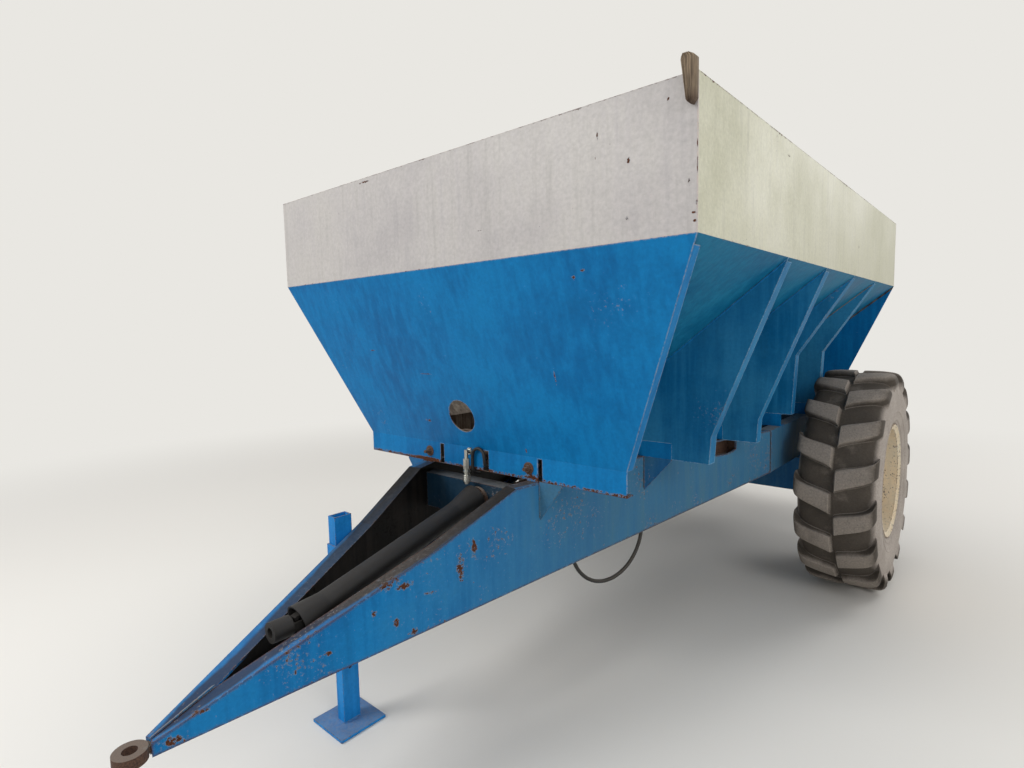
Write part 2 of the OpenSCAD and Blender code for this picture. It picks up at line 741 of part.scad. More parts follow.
// Hub: a turned barrel with a flange behind the wheel disc, studs and a cap
module hub(side) {
  x0 = disc_face_x - hub_back;
  color(steel) place() mirrored(side) union() {
    difference() {
      union() {
        bar_x(x0, axle_y, axle_z, hub_r, hub_len);
        bar_x(disc_face_x - 22, axle_y, axle_z, hub_flange_r, 22 - fit);
        bar_x(x0 + hub_len, axle_y, axle_z, hub_r - 22, 22);
      }
      bar_x(x0 - 1, axle_y, axle_z, stub_r + run_play, disc_face_x + 44 - x0);
    }
    for (i = [0:stud_count - 1])
      translate([0, axle_y, axle_z]) rotate([i * 360 / stud_count, 0, 0]) {
        bar_x(disc_face_x - 5, 0, stud_circle_r, 9, 50);
        translate([disc_face_x + 14 + fit, 0, stud_circle_r]) rotate([0, 90, 0]) cylinder(r = 16, h = 16, $fn = 6);
      }
  }
}

// Rim turned about the axle line: columns are distance from the rim's middle and radius
rim_half = rim_w / 2;
rim_outer = [[-rim_half, rim_seat_r + 28], [-rim_half + 14, rim_seat_r], [-rim_half + 90, rim_seat_r - 8],
  [-70, rim_seat_r - 46], [70, rim_seat_r - 46], [rim_half - 90, rim_seat_r - 8], [rim_half - 14, rim_seat_r],
  [rim_half, rim_seat_r + 28]];
rim_inner = [for (p = reversed(rim_outer)) [p[0], p[1] - rim_t]];
module rim(side) {
  color(cream) place() mirrored(side) translate([wheel_x, axle_y, axle_z]) rotate([0, 90, 0]) difference() {
    union() {
      rotate_extrude($fn = 96) polygon([for (p = concat(rim_outer, rim_inner)) [p[1], p[0]]]);
      // Wheel disc
      translate([0, 0, disc_face_x - wheel_x]) cylinder(r = rim_seat_r - 48, h = 14, $fn = 96);
    }
    translate([0, 0, disc_face_x - wheel_x - 1]) cylinder(r = hub_r + fit, h = 16, $fn = 96);
    for (i = [0:stud_count - 1])
      rotate([0, 0, i * 360 / stud_count]) translate([-stud_circle_r, 0, disc_face_x - wheel_x - 1])
        cylinder(r = 9 + fit, h = 16, $fn = 32);
  }
}

// A solid through rings of points, each wound anticlockwise about the way they run, closed at both ends
module through_rings(rings) {
  n = len(rings[0]);
  last = (len(rings) - 1) * n;
  polyhedron(points = [for (ring = rings) each ring],
    faces = concat([[for (k = [0:n - 1]) k]], [[for (k = [n - 1:-1:0]) last + k]],
      [for (i = [0:len(rings) - 2], k = [0:n - 1]) each [
        [i * n + k, (i + 1) * n + k, i * n + (k + 1) % n],
        [i * n + (k + 1) % n, (i + 1) * n + k, (i + 1) * n + (k + 1) % n]]]));
}

// Tyre with its lugs, about the wheel's middle
tyre_half = tyre_w / 2;
tyre_bead = rim_half - 16;
tyre_mid_r = rim_seat_r + 0.52 * (tyre_r - rim_seat_r);
tyre_seat_r = rim_seat_r + fit;
// Columns: distance from the middle and radius, first outside, then inside
tyre_outside = [[tyre_bead, tyre_seat_r], [rim_half + 2, tyre_seat_r + 34], [tyre_half, tyre_mid_r],
  [tyre_half - 16, crown_r - 66], [tyre_half - 45, crown_r - 24], [tyre_half - 100, crown_r - 4]];
tyre_inside = [[tyre_half - 70, crown_r - tyre_wall - 8], [tyre_half - tyre_wall - 3, tyre_mid_r],
  [tyre_bead - tyre_wall, tyre_seat_r]];
// Columns: a lug's section by the place and radius of its tip and of its root, and its share of the rise
lug_table = [[-8, tyre_r, -8, crown_r - 12, 0], [112, tyre_r, 112, crown_r - 15, 0.52],
  [tyre_half - 28, tyre_r - 11, tyre_half - 52, crown_r - 34, 0.9],
  [tyre_half - 5, tyre_r - 80, tyre_half - 26, crown_r - 86, 1]];
lug_half_a = lug_w / 2 / tyre_r * 180 / PI;
lug_rise_a = lug_rise / tyre_r * 180 / PI;
function round_tyre(x, r, a) = [x, r * sin(a), -r * cos(a)];

module tyre_lug(flank, a) {
  rings = [for (row = lug_table)
    [for (corner = [[2, 1.2], [2, -1.2], [0, -1], [0, 1]])
      round_tyre(row[corner[0]], row[corner[0] + 1], corner[1] * lug_half_a + a - row[4] * lug_rise_a)]];
  mirrored(flank) through_rings(rings);
}

module tyre(side) {
  pitch = 360 / lug_count;
  color(rubber) place() mirrored(side) translate([wheel_x, axle_y, axle_z]) union() {
    rotate([0, 90, 0]) rotate_extrude($fn = 96)
      polygon([for (p = concat(tyre_outside, reversed([for (q = tyre_outside) [-q[0], q[1]]]),
        [for (q = reversed(tyre_inside)) [-q[0], q[1]]], tyre_inside)) [p[1], p[0]]]);
    for (i = [0:lug_count - 1]) {
      tyre_lug(1, (i + 0.5) * pitch + 2.7);
      tyre_lug(-1, i * pitch + 2.7);
    }
  }
}

// Front drive shaft inside its tubular guard, with a bell at each end
guard_low_y = -630;
guard_drop = 218;
guard_top_y = cross_table[0] - bearing_t - fit - 60;
guard_a = atan(guard_drop / (guard_top_y - guard_low_y));
guard_len = (guard_top_y - guard_low_y) / cos(guard_a);
guard_r = 46;
guard_bell_r = 62;
module along_guard() {
  translate([0, guard_top_y, drive_z]) rotate([90 + guard_a, 0, 0]) children();
}
module shaft_guard() {
  color(dark) place() difference() {
    along_guard() {
      cylinder(r = guard_r, h = guard_len, $fn = 64);
      translate([0, 0, -50]) cylinder(r1 = 66, r2 = guard_r, h = 130, $fn = 64);
      translate([0, 0, guard_len - 90]) cylinder(r1 = guard_r, r2 = guard_bell_r, h = 110, $fn = 64);
    }
    along_guard() translate([0, 0, guard_len - 60])
      cylinder(r1 = guard_r - 4, r2 = guard_bell_r - 6, h = 81, $fn = 64);
    translate([-200, cross_table[0] - bearing_t - fit, drive_z - 200]) cube([400, 200, 400]);
  }
  drive_yoke();
}

// Universal joint at the tractor's end: a fork on the shaft, its cross, and a level yoke with a splined bore
yoke_r = 36;
yoke_len = 70;
yoke_bore_r = 17.5;
yoke_bore_len = 60;
yoke_back = 34;
fork_r = 30;
fork_half = 15;
fork_t = 10;
joint_out = 16;
joint_pin_r = 8;
module drive_yoke() {
  joint_front_y = guard_low_y - joint_out * cos(guard_a);
  joint_front_z = drive_z - guard_drop - joint_out * sin(guard_a);
  yoke_y = joint_front_y - yoke_back - yoke_len;
  color(steel) place() difference() {
    union() {
      along_guard() {
        translate([0, 0, guard_len - 60]) cylinder(r = fork_r, h = 50, $fn = 64);
        for (y = [-fork_r, fork_r - fork_t])
          translate([-fork_half, y, guard_len - 12]) cube([2 * fork_half, fork_t, joint_out + fork_half + 12]);
        translate([0, fork_r, guard_len + joint_out]) rotate([90, 0, 0])
          cylinder(r = joint_pin_r, h = 2 * fork_r, $fn = 48);
      }
      bar_x(-fork_r, joint_front_y, joint_front_z, joint_pin_r, 2 * fork_r);
      for (x = [-fork_r - 2, fork_r + 2 - fork_t])
        translate([x, yoke_y + yoke_len - 2, joint_front_z - fork_half])
          cube([fork_t, yoke_back + fork_half + 2, 2 * fork_half]);
      bar_y(0, yoke_y, joint_front_z, yoke_r, yoke_len);
    }
    bar_y(0, yoke_y - 1, joint_front_z, yoke_bore_r, yoke_bore_len + 1);
  }
}

// Flat bar across the drawbar with a saddle that the guard lies in
rest_y = -520;
module guard_rest() {
  rest_d = 40;
  w0 = web_in_x(rest_y) - fit;
  w1 = web_in_x(rest_y + rest_d) - fit;
  axis_z = drive_z - (guard_top_y - rest_y) * tan(guard_a);
  color(steel) place() difference() {
    translate([0, 0, axis_z - 90]) linear_extrude(66)
      polygon([[-w0, rest_y], [w0, rest_y], [w1, rest_y + rest_d], [-w1, rest_y + rest_d]]);
    for (side = [-1, 1])
      mirrored(side) translate([78, rest_y - 1, axis_z - 66]) cube([200, rest_d + 2, 90]);
    along_guard() cylinder(r = guard_r + fit, h = guard_len, $fn = 64);
  }
}

// Drive line under the floor, with its flanged bearings on the cross-members
module line_shaft() {
  start = cross_table[0] - bearing_t;
  color(steel) place() union() {
    bar_y(0, start, drive_z, drive_r, joint_y - start);
    for (y = cross_table)
      bar_y(0, y - bearing_t - fit, drive_z, bearing_r, bearing_t);
    bar_y(0, joint_y - 50, drive_z, 52, 50);
  }
}

// Inclined shaft in its guard, from the line shaft's joint down to the middle gearbox
module rear_shaft() {
  guard_tube_r = 32;
  bell_r = 56;
  color(dark) place() intersection() {
    translate([0, joint_y, drive_z]) rotate([-90 - rear_shaft_a, 0, 0]) {
      translate([0, 0, -bell_r]) cylinder(r = guard_tube_r, h = rear_shaft_len + 2 * bell_r, $fn = 64);
      translate([0, 0, -10]) cylinder(r1 = bell_r, r2 = guard_tube_r, h = 100, $fn = 64);
    }
    translate([-bell_r, joint_y + fit, gear_z - bell_r])
      cube([2 * bell_r, gear_front_y - joint_y - 2 * fit, drive_z - gear_z + 2 * bell_r]);
  }
}

// Bevel gearboxes under the discs, joined by tubes and driven from the middle one
module gearbox() {
  case_low_z = gear_z - gear_below;
  color(steel) place() difference() {
    union() {
      translate([-gear_size / 2, disc_y - gear_size / 2, case_low_z]) cube([gear_size, gear_size, gear_case_h]);
      bar_y(0, gear_front_y, gear_z, 45, 20);
      bar_x(-disc_x, disc_y, gear_z, 38, 2 * disc_x);
      for (side = [-1, 1])
        translate([side * disc_x, disc_y, case_low_z]) {
          cylinder(r = 78, h = gear_case_h - 5, $fn = 64);
          cylinder(r = 44, h = spindle_top_z - 12 - case_low_z, $fn = 64);
        }
    }
    // Bores that the discs' spindles stand in
    for (side = [-1, 1])
      translate([side * disc_x, disc_y, spindle_low_z - 10])
        cylinder(r = spindle_r + run_play, h = disc_z - spindle_low_z, $fn = 64);
  }
}

// Frame that carries the gearboxes: posts below the rear cross-member and arms to the rear
module gearbox_frame() {
  post_y = cross_rear_y + 10;
  color(blue) place() for (side = [-1, 1])
    mirrored(side) union() {
      translate([disc_x - arm_size / 2, post_y, arm_z]) cube([arm_size, disc_y + 90 - post_y, arm_size]);
      translate([disc_x - arm_size / 2, post_y, arm_z]) cube([arm_size, arm_size, rail_low_z + plate_t + fit - arm_z]);
      sideways(disc_x - 5, 10)
        polygon([[post_y + arm_size, arm_z + arm_size], [post_y + arm_size + 110, arm_z + arm_size],
          [post_y + arm_size, arm_z + arm_size + 80]]);
    }
}

// Curved shields ahead of the discs that keep the spread off the wheels
module spinner_shield() {
  color(blue) place() for (side = [-1, 1])
    mirrored(side) translate([disc_x, disc_y, disc_z - 10]) difference() {
      cylinder(r = shield_r, h = shield_h, $fn = 96);
      translate([0, 0, -1]) cylinder(r = shield_r - shield_t, h = shield_h + 2, $fn = 96);
      translate([-shield_r - 1, -60, -1]) cube([2 * shield_r + 2, shield_r + 70, shield_h + 2]);
      translate([-shield_r - disc_x, -shield_r - 1, -1]) cube([shield_r + 0.5, shield_r + 1, shield_h + 2]);
    }
}

// Spinning disc with upright vanes, on a spindle that stands in its gearbox
module spinner(side) {
  color(steel) place() translate([side * disc_x, disc_y, disc_z]) union() {
    cylinder(r = disc_r, h = disc_t, $fn = 96);
    translate([0, 0, -10]) cylinder(r = 42, h = 10, $fn = 64);
    translate([0, 0, spindle_low_z - disc_z]) cylinder(r = spindle_r, h = disc_z - spindle_low_z + 1, $fn = 64);
    cylinder(r = 46, h = 46, $fn = 64);
    for (i = [0:vane_count - 1])
      rotate([0, 0, side * (i * 360 / vane_count + 8)]) translate([60, -20, disc_t - 1])
        difference() {
          union() {
            cube([disc_r - 66, 5, vane_h]);
            cube([disc_r - 66, 24, 5]);
          }
          translate([0, -1, vane_h]) rotate([0, 34, 0]) translate([-60, 0, -200]) cube([60, 30, 300]);
        }
  }
}

// Outlet gate: a sheet with a folded foot, and the lug that the ram lifts
module gate() {
  color(blue) place() union() {
    translate([-gate_w / 2, gate_y, gate_low_z]) cube([gate_w, gate_t, gate_h]);
    for (z = [gate_low_z, gate_low_z + gate_h / 2])
      translate([-gate_w / 2 + 60, gate_y + gate_t, z]) cube([gate_w - 120, gate_rib_d, gate_t]);
    for (x = [-30, 22])
      translate([x, gate_y + gate_t, lug_z - 26]) cube([8, ram_y - gate_y - gate_t + 24, 52]);
    bar_x(-30, ram_y, lug_z, eye_pin_r - run_play, 60);
  }
}

// Upright guides that the gate slides in
module gate_guides() {
  x0 = gate_w / 2 + 1.2;
  y1 = gate_y + gate_t + slide_play;
  color(blue) place() for (side = [-1, 1])
    mirrored(side) translate([0, 0, floor_z + 60]) linear_extrude(gate_h + gate_travel - 20)
      polygon([[x0, hopper_len], [x0 + 40, hopper_len], [x0 + 40, y1 + 6], [x0 - 14, y1 + 6], [x0 - 14, y1],
        [x0, y1]]);
}

module ram_barrel() {
  color(steel) place() translate([0, ram_y, 0]) difference() {
    union() {
      translate([0, 0, ram_low_z]) cylinder(r = ram_r, h = ram_top_z - 34 - ram_low_z, $fn = 64);
      translate([-21, -20, ram_top_z - 36]) cube([42, 40, 22]);
      translate([-21, 0, ram_top_z]) rotate([0, 90, 0]) cylinder(r = 24, h = 42, $fn = 64);
    }
    translate([0, 0, ram_low_z + 12]) cylinder(r = ram_r - ram_wall, h = ram_top_z - 60 - ram_low_z - 12, $fn = 64);
    translate([0, 0, ram_low_z - 1]) cylinder(r = rod_r + run_play, h = 20, $fn = 64);
    bar_x(-30, 0, ram_top_z, eye_pin_r + fit, 60);
  }
}

module ram_rod() {
  color("#9A9A98") place() translate([0, ram_y, 0]) difference() {
    union() {
      translate([0, 0, lug_z + 10]) cylinder(r = rod_r, h = ram_low_z + 60 - lug_z - 10, $fn = 64);
      translate([0, 0, ram_low_z + 30]) cylinder(r = ram_r - ram_wall - run_play, h = 30, $fn = 64);
      translate([-21, 0, lug_z]) rotate([0, 90, 0]) cylinder(r = 25, h = 42, $fn = 64);
    }
    bar_x(-30, 0, lug_z, eye_pin_r, 60);
  }
}

// Quick coupler of the gate's hydraulic line, hanging at the foot of the front wall
module coupler() {
  coupler_y = front_lean - 30;
  top_z = floor_z - 16;
  color(steel) place() translate([coupler_x, 0, 0]) union() {
    bar_y(0, coupler_y, top_z, 9, 30 - fit);
    bar_y(0, front_lean - 12 - fit, top_z, 16, 12);
    translate([0, coupler_y, top_z - 60]) cylinder(r = 9, h = 69, $fn = 48);
    translate([0, coupler_y, top_z - 80]) cylinder(r = 15, h = 48, $fn = 6);
    translate([0, coupler_y, top_z - 148]) cylinder(r = 13, h = 70, $fn = 48);
    translate([0, coupler_y, top_z - 138]) cylinder(r = 17, h = 30, $fn = 48);
  }
}

// Hydraulic hose that hangs in a loop inside the left-hand beam, its ends in two ferrules on the web
hose_r = 9;
hose_corners = 10;
// Points of the hose, in millimetres: down one leg, round the bend and up the other
hose_route = [
  [344.0, 507.1, 763.0], [344.0, 507.1, 743.0], [344.0, 507.1, 722.0], [344.0, 507.1, 702.0],
  [345.9, 514.9, 641.2], [351.7, 537.6, 584.5], [360.8, 573.9, 535.8], [372.7, 621.1, 498.5],
  [386.5, 676.0, 475.0], [401.4, 735.0, 467.0], [416.2, 794.0, 475.0], [430.1, 848.9, 498.5],
  [442.0, 896.1, 535.8], [451.1, 932.4, 584.5], [456.8, 955.1, 641.2], [458.8, 962.9, 702.0],
  [458.8, 962.9, 722.0], [458.8, 962.9, 743.0], [458.8, 962.9, 763.0]];
function unit(v) = v / norm(v);
function hose_run(i) = unit(hose_route[min(i + 1, len(hose_route) - 1)] - hose_route[max(i - 1, 0)]);
module hose() {
  flat = unit(cross(hose_route[0] - hose_route[9], hose_route[len(hose_route) - 1] - hose_route[9]));
  rings = [for (i = [0:len(hose_route) - 1])
    [for (k = [0:hose_corners - 1])
      hose_route[i] + hose_r * (cos(k * 360 / hose_corners) * flat
        + sin(k * 360 / hose_corners) * cross(hose_run(i), flat))]];
  color(dark) place() through_rings(rings);
}

// Ferrules that the hose's ends go into, each on a block welded to the beam's web
module hose_clips() {
  ferrule_r = 13;
  ferrule_len = 44;
  seat_len = 16;
  block_w = 28;
  block_h = 24;
  color(steel) place() for (tip = [hose_route[0], hose_route[len(hose_route) - 1]])
    union() {
      difference() {
        translate([tip[0], tip[1], tip[2] - ferrule_len + seat_len]) cylinder(r = ferrule_r, h = ferrule_len, $fn = 48);
        translate([tip[0], tip[1], tip[2] - ferrule_len]) cylinder(r = hose_r + fit, h = ferrule_len + fit, $fn = 48);
      }
      translate([nose_half, nose_y, tip[2] + 4]) rotate([0, 0, 90 - beam_a]) linear_extrude(block_h)
        translate([clip_along(tip) - block_w / 2, plate_t + fit])
          square([block_w, clip_off(tip) + block_w / 2 - plate_t - fit]);
    }
}
// Place of a point along a beam, and its distance inwards from the beam's outer face
function clip_along(p) = (p[0] - nose_half) * sin(beam_a) + (p[1] - nose_y) * cos(beam_a);
function clip_off(p) = (p[1] - nose_y) * sin(beam_a) - (p[0] - nose_half) * cos(beam_a);

// Weathered timber wedge jammed on the front corner of the boards
module corner_wedge() {
  color(timber) place() across(-34 - fit, 34)
    polygon([[half_w - 58, rim_z + 36], [half_w + 4, rim_z + 42], [half_w + 2, rim_z - 60], [half_w - 20, rim_z - 92],
      [half_w - 40, rim_z - 84]]);
}

board_front();
board_side(1);  // board_left
board_side(-1);  // board_right
board_rear();
front_wall();
side_wall(1);  // side_wall_left
side_wall(-1);  // side_wall_right
rear_wall();
ribs(1);  // ribs_left
ribs(-1);  // ribs_right
bearers();
conveyor_floor();
channel_side(1);  // channel_side_left
channel_side(-1);  // channel_side_right
conveyor();
front_sprocket_shaft();
rear_sprocket_shaft();
take_up_bolts();
drawbar_beam(1);  // drawbar_beam_left
drawbar_beam(-1);  // drawbar_beam_right
frame_rail(1);  // frame_rail_left
frame_rail(-1);  // frame_rail_right
cross_members();
gussets();
hitch_eye();
axle_box();
stub_axles();
hub(1);  // hub_left
hub(-1);  // hub_right
rim(1);  // rim_left
rim(-1);  // rim_right
tyre(1);  // tyre_left
tyre(-1);  // tyre_right
stand_sleeve();
stand_leg();
shaft_guard();
guard_rest();
line_shaft();
rear_shaft();
gearbox();
gearbox_frame();
spinner_shield();
spinner(1);  // spinner_left
spinner(-1);  // spinner_right
gate();
gate_guides();
ram_barrel();
ram_rod();
coupler();
hose_clips();
hose();
corner_wedge();
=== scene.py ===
from math import cos, pi, radians, sin, sqrt, tau
import random

import bmesh
import bpy
from mathutils import Matrix, Vector, noise


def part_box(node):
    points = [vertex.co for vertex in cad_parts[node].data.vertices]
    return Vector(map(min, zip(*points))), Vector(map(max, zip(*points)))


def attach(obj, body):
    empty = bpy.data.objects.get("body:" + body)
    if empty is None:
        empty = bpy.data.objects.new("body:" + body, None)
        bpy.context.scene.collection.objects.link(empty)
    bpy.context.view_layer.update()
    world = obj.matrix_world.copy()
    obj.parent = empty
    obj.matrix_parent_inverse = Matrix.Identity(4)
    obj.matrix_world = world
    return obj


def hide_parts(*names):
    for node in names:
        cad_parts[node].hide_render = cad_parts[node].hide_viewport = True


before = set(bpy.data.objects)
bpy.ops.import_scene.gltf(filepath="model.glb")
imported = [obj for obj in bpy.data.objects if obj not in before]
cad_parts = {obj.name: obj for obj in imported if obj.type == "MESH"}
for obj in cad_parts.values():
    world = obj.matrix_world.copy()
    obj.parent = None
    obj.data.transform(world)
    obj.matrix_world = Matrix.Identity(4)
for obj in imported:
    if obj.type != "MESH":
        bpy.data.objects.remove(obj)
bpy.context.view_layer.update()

# The camera stands ahead of the left front corner at chest height, and looks
# back along the machine. Its place is measured from the front board.
FRONT_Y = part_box("board_front")[0].y
VIEW_AZIMUTH = radians(41.209)
VIEW_DOWN = radians(5.103)
VIEW_ROLL = radians(-1.241)
VIEW_PLACE = Vector((1.859, FRONT_Y - 1.608, 1.675))
VIEW_LENS_MM = 20.375

sin_a, cos_a = sin(VIEW_AZIMUTH), cos(VIEW_AZIMUTH)
sin_e, cos_e = sin(VIEW_DOWN), cos(VIEW_DOWN)
ahead = Vector((-sin_a * cos_e, cos_a * cos_e, -sin_e))
level = Vector((cos_a, sin_a, 0))
upward = level.cross(ahead)
right = level * cos(VIEW_ROLL) + upward * sin(VIEW_ROLL)


def add_object(name, data):
    """Puts a new object into the scene."""
    thing = bpy.data.objects.new(name, data)
    bpy.context.scene.collection.objects.link(thing)
    return thing


camera = add_object("camera", bpy.data.cameras.new("camera"))
camera.data.lens = VIEW_LENS_MM
camera.data.sensor_width = 36.0
turned = Matrix((right, right.cross(ahead), -ahead)).transposed().to_4x4()
camera.matrix_world = Matrix.Translation(VIEW_PLACE) @ turned
bpy.context.scene.camera = camera
bpy.context.scene.view_settings.view_transform = "Standard"

# Hydraulic hose: wire-braided rubber, 18 mm over its cover, that hangs in one
# loop inside the left drawbar beam between two ferrules on the web. Its cover
# has gone dull and dusty.
HOSE_ROUTE_MM = [
    (344, 507.1, 763), (344, 507.1, 743), (344, 507.1, 722), (344, 507.1, 702),
    (345.9, 514.9, 641.2), (351.7, 537.6, 584.5), (360.8, 573.9, 535.8), (372.7, 621.1, 498.5),
    (386.5, 676, 475), (401.4, 735, 467), (416.2, 794, 475), (430.1, 848.9, 498.5),
    (442, 896.1, 535.8), (451.1, 932.4, 584.5), (456.8, 955.1, 641.2), (458.8, 962.9, 702),
    (458.8, 962.9, 722), (458.8, 962.9, 743), (458.8, 962.9, 763)]
HOSE_DIAMETER = 0.018


def linear(color):
    """An sRGB hex colour as linear RGBA."""
    channels = [int(color[i:i + 2], 16) / 255 for i in (1, 3, 5)]
    return [c / 12.92 if c <= 0.04045 else ((c + 0.055) / 1.055) ** 2.4 for c in channels] + [1.0]


def add_node(tree, kind, links=(), out=0, **settings):
    """Adds a shader node with its settings, links or fills its inputs, and returns one output."""
    node = tree.nodes.new("ShaderNode" + kind)
    for key, value in settings.items():
        setattr(node, key, value)
    for key, value in dict(links).items():
        if isinstance(value, bpy.types.NodeSocket):
            tree.links.new(value, node.inputs[key])
        else:
            node.inputs[key].default_value = value
    return node.outputs[out] if out is not None else node


def tree_of(*values):
    """The node tree of the first value that is a node's output."""
    return next(value.id_data for value in values if isinstance(value, bpy.types.NodeSocket))


def ramp(value, low, high, least=0.0, most=1.0, **settings):
    """Turns values between low and high into ones between least and most."""
    links = {"Value": value, "From Min": low, "From Max": high, "To Min": least, "To Max": most}
    return add_node(tree_of(value), "MapRange", links, **settings)


def calc(operation, *values, **settings):
    """One step of arithmetic."""
    return add_node(tree_of(*values), "Math", enumerate(values), operation=operation, **settings)


def vector(operation, *values, out="Value"):
    """The same with vectors."""
    return add_node(tree_of(*values), "VectorMath", enumerate(values), out, operation=operation)


def mix(share, first, second, blend="MIX"):
    """Mixes two colours, each of them a hex colour or a node's output."""
    tree = tree_of(share, first, second)
    first, second = (linear(c) if isinstance(c, str) else c for c in (first, second))
    return add_node(tree, "MixRGB", {"Fac": share, "Color1": first, "Color2": second}, blend_type=blend)


def part_of(vector, axis):
    """The X, Y or Z of a vector."""
    return add_node(tree_of(vector), "SeparateXYZ", {0: vector}, out=axis)


def per_mm(size):
    """The scale of a texture whose features are that many millimetres across."""
    return 1000.0 / size


def mottle(place, size_mm, detail, roughness=0.5):
    """A noise with features of that size and finer ones within them."""
    links = {"Vector": place, "Scale": per_mm(size_mm), "Detail": detail, "Roughness": roughness}
    return add_node(tree_of(place), "TexNoise", links)


def bump(height, strength, distance, under=None):
    """A bump of that depth in metres, on top of the one under it."""
    links = {"Height": height, "Strength": strength, "Distance": distance}
    if under is not None:
        links["Normal"] = under
    return add_node(tree_of(height), "Bump", links, out="Normal")


def new_material(name):
    """A material, its tree, its shader, and the place of each point in the shared frame."""
    material = bpy.data.materials.new(name)
    material.use_nodes = True
    tree = material.node_tree
    return material, tree, tree.nodes["Principled BSDF"], add_node(tree, "TexCoord", out="Object")


def feed(shader, links):
    """Links outputs to the shader's inputs."""
    for key, output in links.items():
        shader.id_data.links.new(output, shader.inputs[key])


def dusty_polymer(name, clean, dusty, dust_from=-0.4, dust_most=0.75):
    """Moulded polyethylene or rubber: dull, scratched and greasy, with dust stuck to what looks up."""
    material, tree, shader, place = new_material(name)
    facing = add_node(tree, "TexCoord", out="Normal")
    clouds = mottle(place, 70, 6.0, 0.7)
    fine = mottle(place, 5, 3.0)
    up = part_of(facing, "Z")
    lying = calc("MULTIPLY", ramp(up, dust_from, 0.9, 0.08, dust_most), clouds)
    colour = mix(lying, clean, dusty)
    dull = ramp(clouds, 0.0, 1.0, 0.4, 0.85)
    scuffed = bump(fine, 0.2, 0.0008)
    feed(shader, {"Base Color": colour, "Roughness": dull, "Normal": scuffed})
    return material


route = [Vector((x / 1000, FRONT_Y + y / 1000, z / 1000)) for x, y, z in HOSE_ROUTE_MM]
line = bpy.data.curves.new("hydraulic_hose", "CURVE")
line.dimensions = "3D"
line.bevel_depth = HOSE_DIAMETER / 2
line.bevel_resolution = 6
line.resolution_u = 5
spline = line.splines.new("BEZIER")
spline.bezier_points.add(len(route) - 1)
for knot, knot_place in zip(spline.bezier_points, route):
    knot.co = knot_place
    knot.handle_left_type = knot.handle_right_type = "AUTO"
line.materials.append(dusty_polymer("hose_rubber", "#171615", "#5D554A"))
hose = add_object("hydraulic_hose", line)
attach(hose, "chassis")
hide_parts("hose")

# A pale studio floor that fades into an even background, one big soft lamp
# from the front left, a weaker one from the right, and one from behind.
BACKGROUND = "#E9E7E2"
FLOOR = "#E3E0DA"
SKY_STRENGTH = 0.5
# The floor fades between these distances from the middle
FADE_START = 3.2
FADE_END = 9.0
FLOOR_REACH = 60
LAMPS = [
    # name, place, point it looks at, size, watts
    ("key", (-3.0, -6.8, 5.4), (0.2, -0.6, 1.2), 3.6, 285),
    ("fill", (6.6, -3.4, 4.2), (0.4, 0.4, 1.0), 4.0, 150),
    ("rear", (4.6, 7.2, 4.8), (0.0, 0.8, 1.2), 3.6, 165),
    ("top", (-0.5, 0.5, 7.5), (-0.5, 0.5, 0.0), 5.0, 170),
]

world = bpy.data.worlds.new("studio")
world.use_nodes = True
tree = world.node_tree
tree.nodes.clear()
seen = add_node(tree, "LightPath", out="Is Camera Ray")
mirrored = add_node(tree, "LightPath", out="Is Glossy Ray")
through = add_node(tree, "LightPath", out="Is Transmission Ray")
seen = calc("MAXIMUM", seen, mirrored)
seen = calc("MAXIMUM", seen, through)
light = add_node(tree, "Background", {"Color": linear("#FFFFFF"), "Strength": SKY_STRENGTH})
plain = add_node(tree, "Background", {"Color": linear(BACKGROUND), "Strength": 1.0})
shown = add_node(tree, "MixShader", {0: seen, 1: light, 2: plain})
add_node(tree, "OutputWorld", {"Surface": shown}, out=None)
bpy.context.scene.world = world

floor_material, tree, matt, place = new_material("pale_floor")
matt.inputs["Base Color"].default_value = linear(FLOOR)
matt.inputs["Roughness"].default_value = 0.9
reach = vector("LENGTH", place)
fade = ramp(reach, FADE_START, FADE_END, interpolation_type="SMOOTHSTEP")
seen = add_node(tree, "LightPath", out="Is Camera Ray")
fade = calc("MULTIPLY", fade, seen)
glow = add_node(tree, "Emission", {"Color": linear(BACKGROUND), "Strength": 1.0})
shown = add_node(tree, "MixShader", {0: fade, 1: matt.outputs[0], 2: glow})
tree.links.new(shown, tree.nodes["Material Output"].inputs["Surface"])

floor_mesh = bpy.data.meshes.new("floor")
corners = [(x * FLOOR_REACH, y * FLOOR_REACH, 0) for x, y in ((-1, -1), (1, -1), (1, 1), (-1, 1))]
floor_mesh.from_pydata(corners, [], [(0, 1, 2, 3)])
floor_mesh.materials.append(floor_material)
floor = add_object("floor", floor_mesh)
floor.location.z = -0.001

for name, lamp_place, target, size, watts in LAMPS:
    lamp = add_object(name, bpy.data.lights.new(name, "AREA"))
    lamp.data.shape = "DISK"
    lamp.data.size = size
    lamp.data.energy = watts
    lamp.location = lamp_place
    lamp.rotation_euler = (Vector(target) - Vector(lamp_place)).to_track_quat("-Z", "Y").to_euler()

# Drawbar beams and rear rails: folded 8 mm steel plate in blue enamel. Outside
# the enamel is chalked, knocked off along the edges and rusting there; inside
# the A-frame the beams are painted near-black as shade, and dust greys the enamel towards the rear.
BLUE = "#0069A8"
BLUE_CHALKED = "#177CB4"
BLUE_DUSTED = "#43697A"
RUST_DARK = "#2E1C16"
RUST = "#653C28"
RUST_LIGHT = "#8F5E3D"
PRIMER = "#8D9CA3"
DUST = "#8E867B"
EDGE_RADIUS = 0.007
# The drawbar's webs spread from the nose towards the rear. WEB_X is how far
# out they would be at y = 0.
NOSE_AHEAD = 1.124
NOSE_HALF = 0.024
WEB_SLOPE = 0.251815
WEB_X = NOSE_HALF + (NOSE_AHEAD - FRONT_Y) * WEB_SLOPE


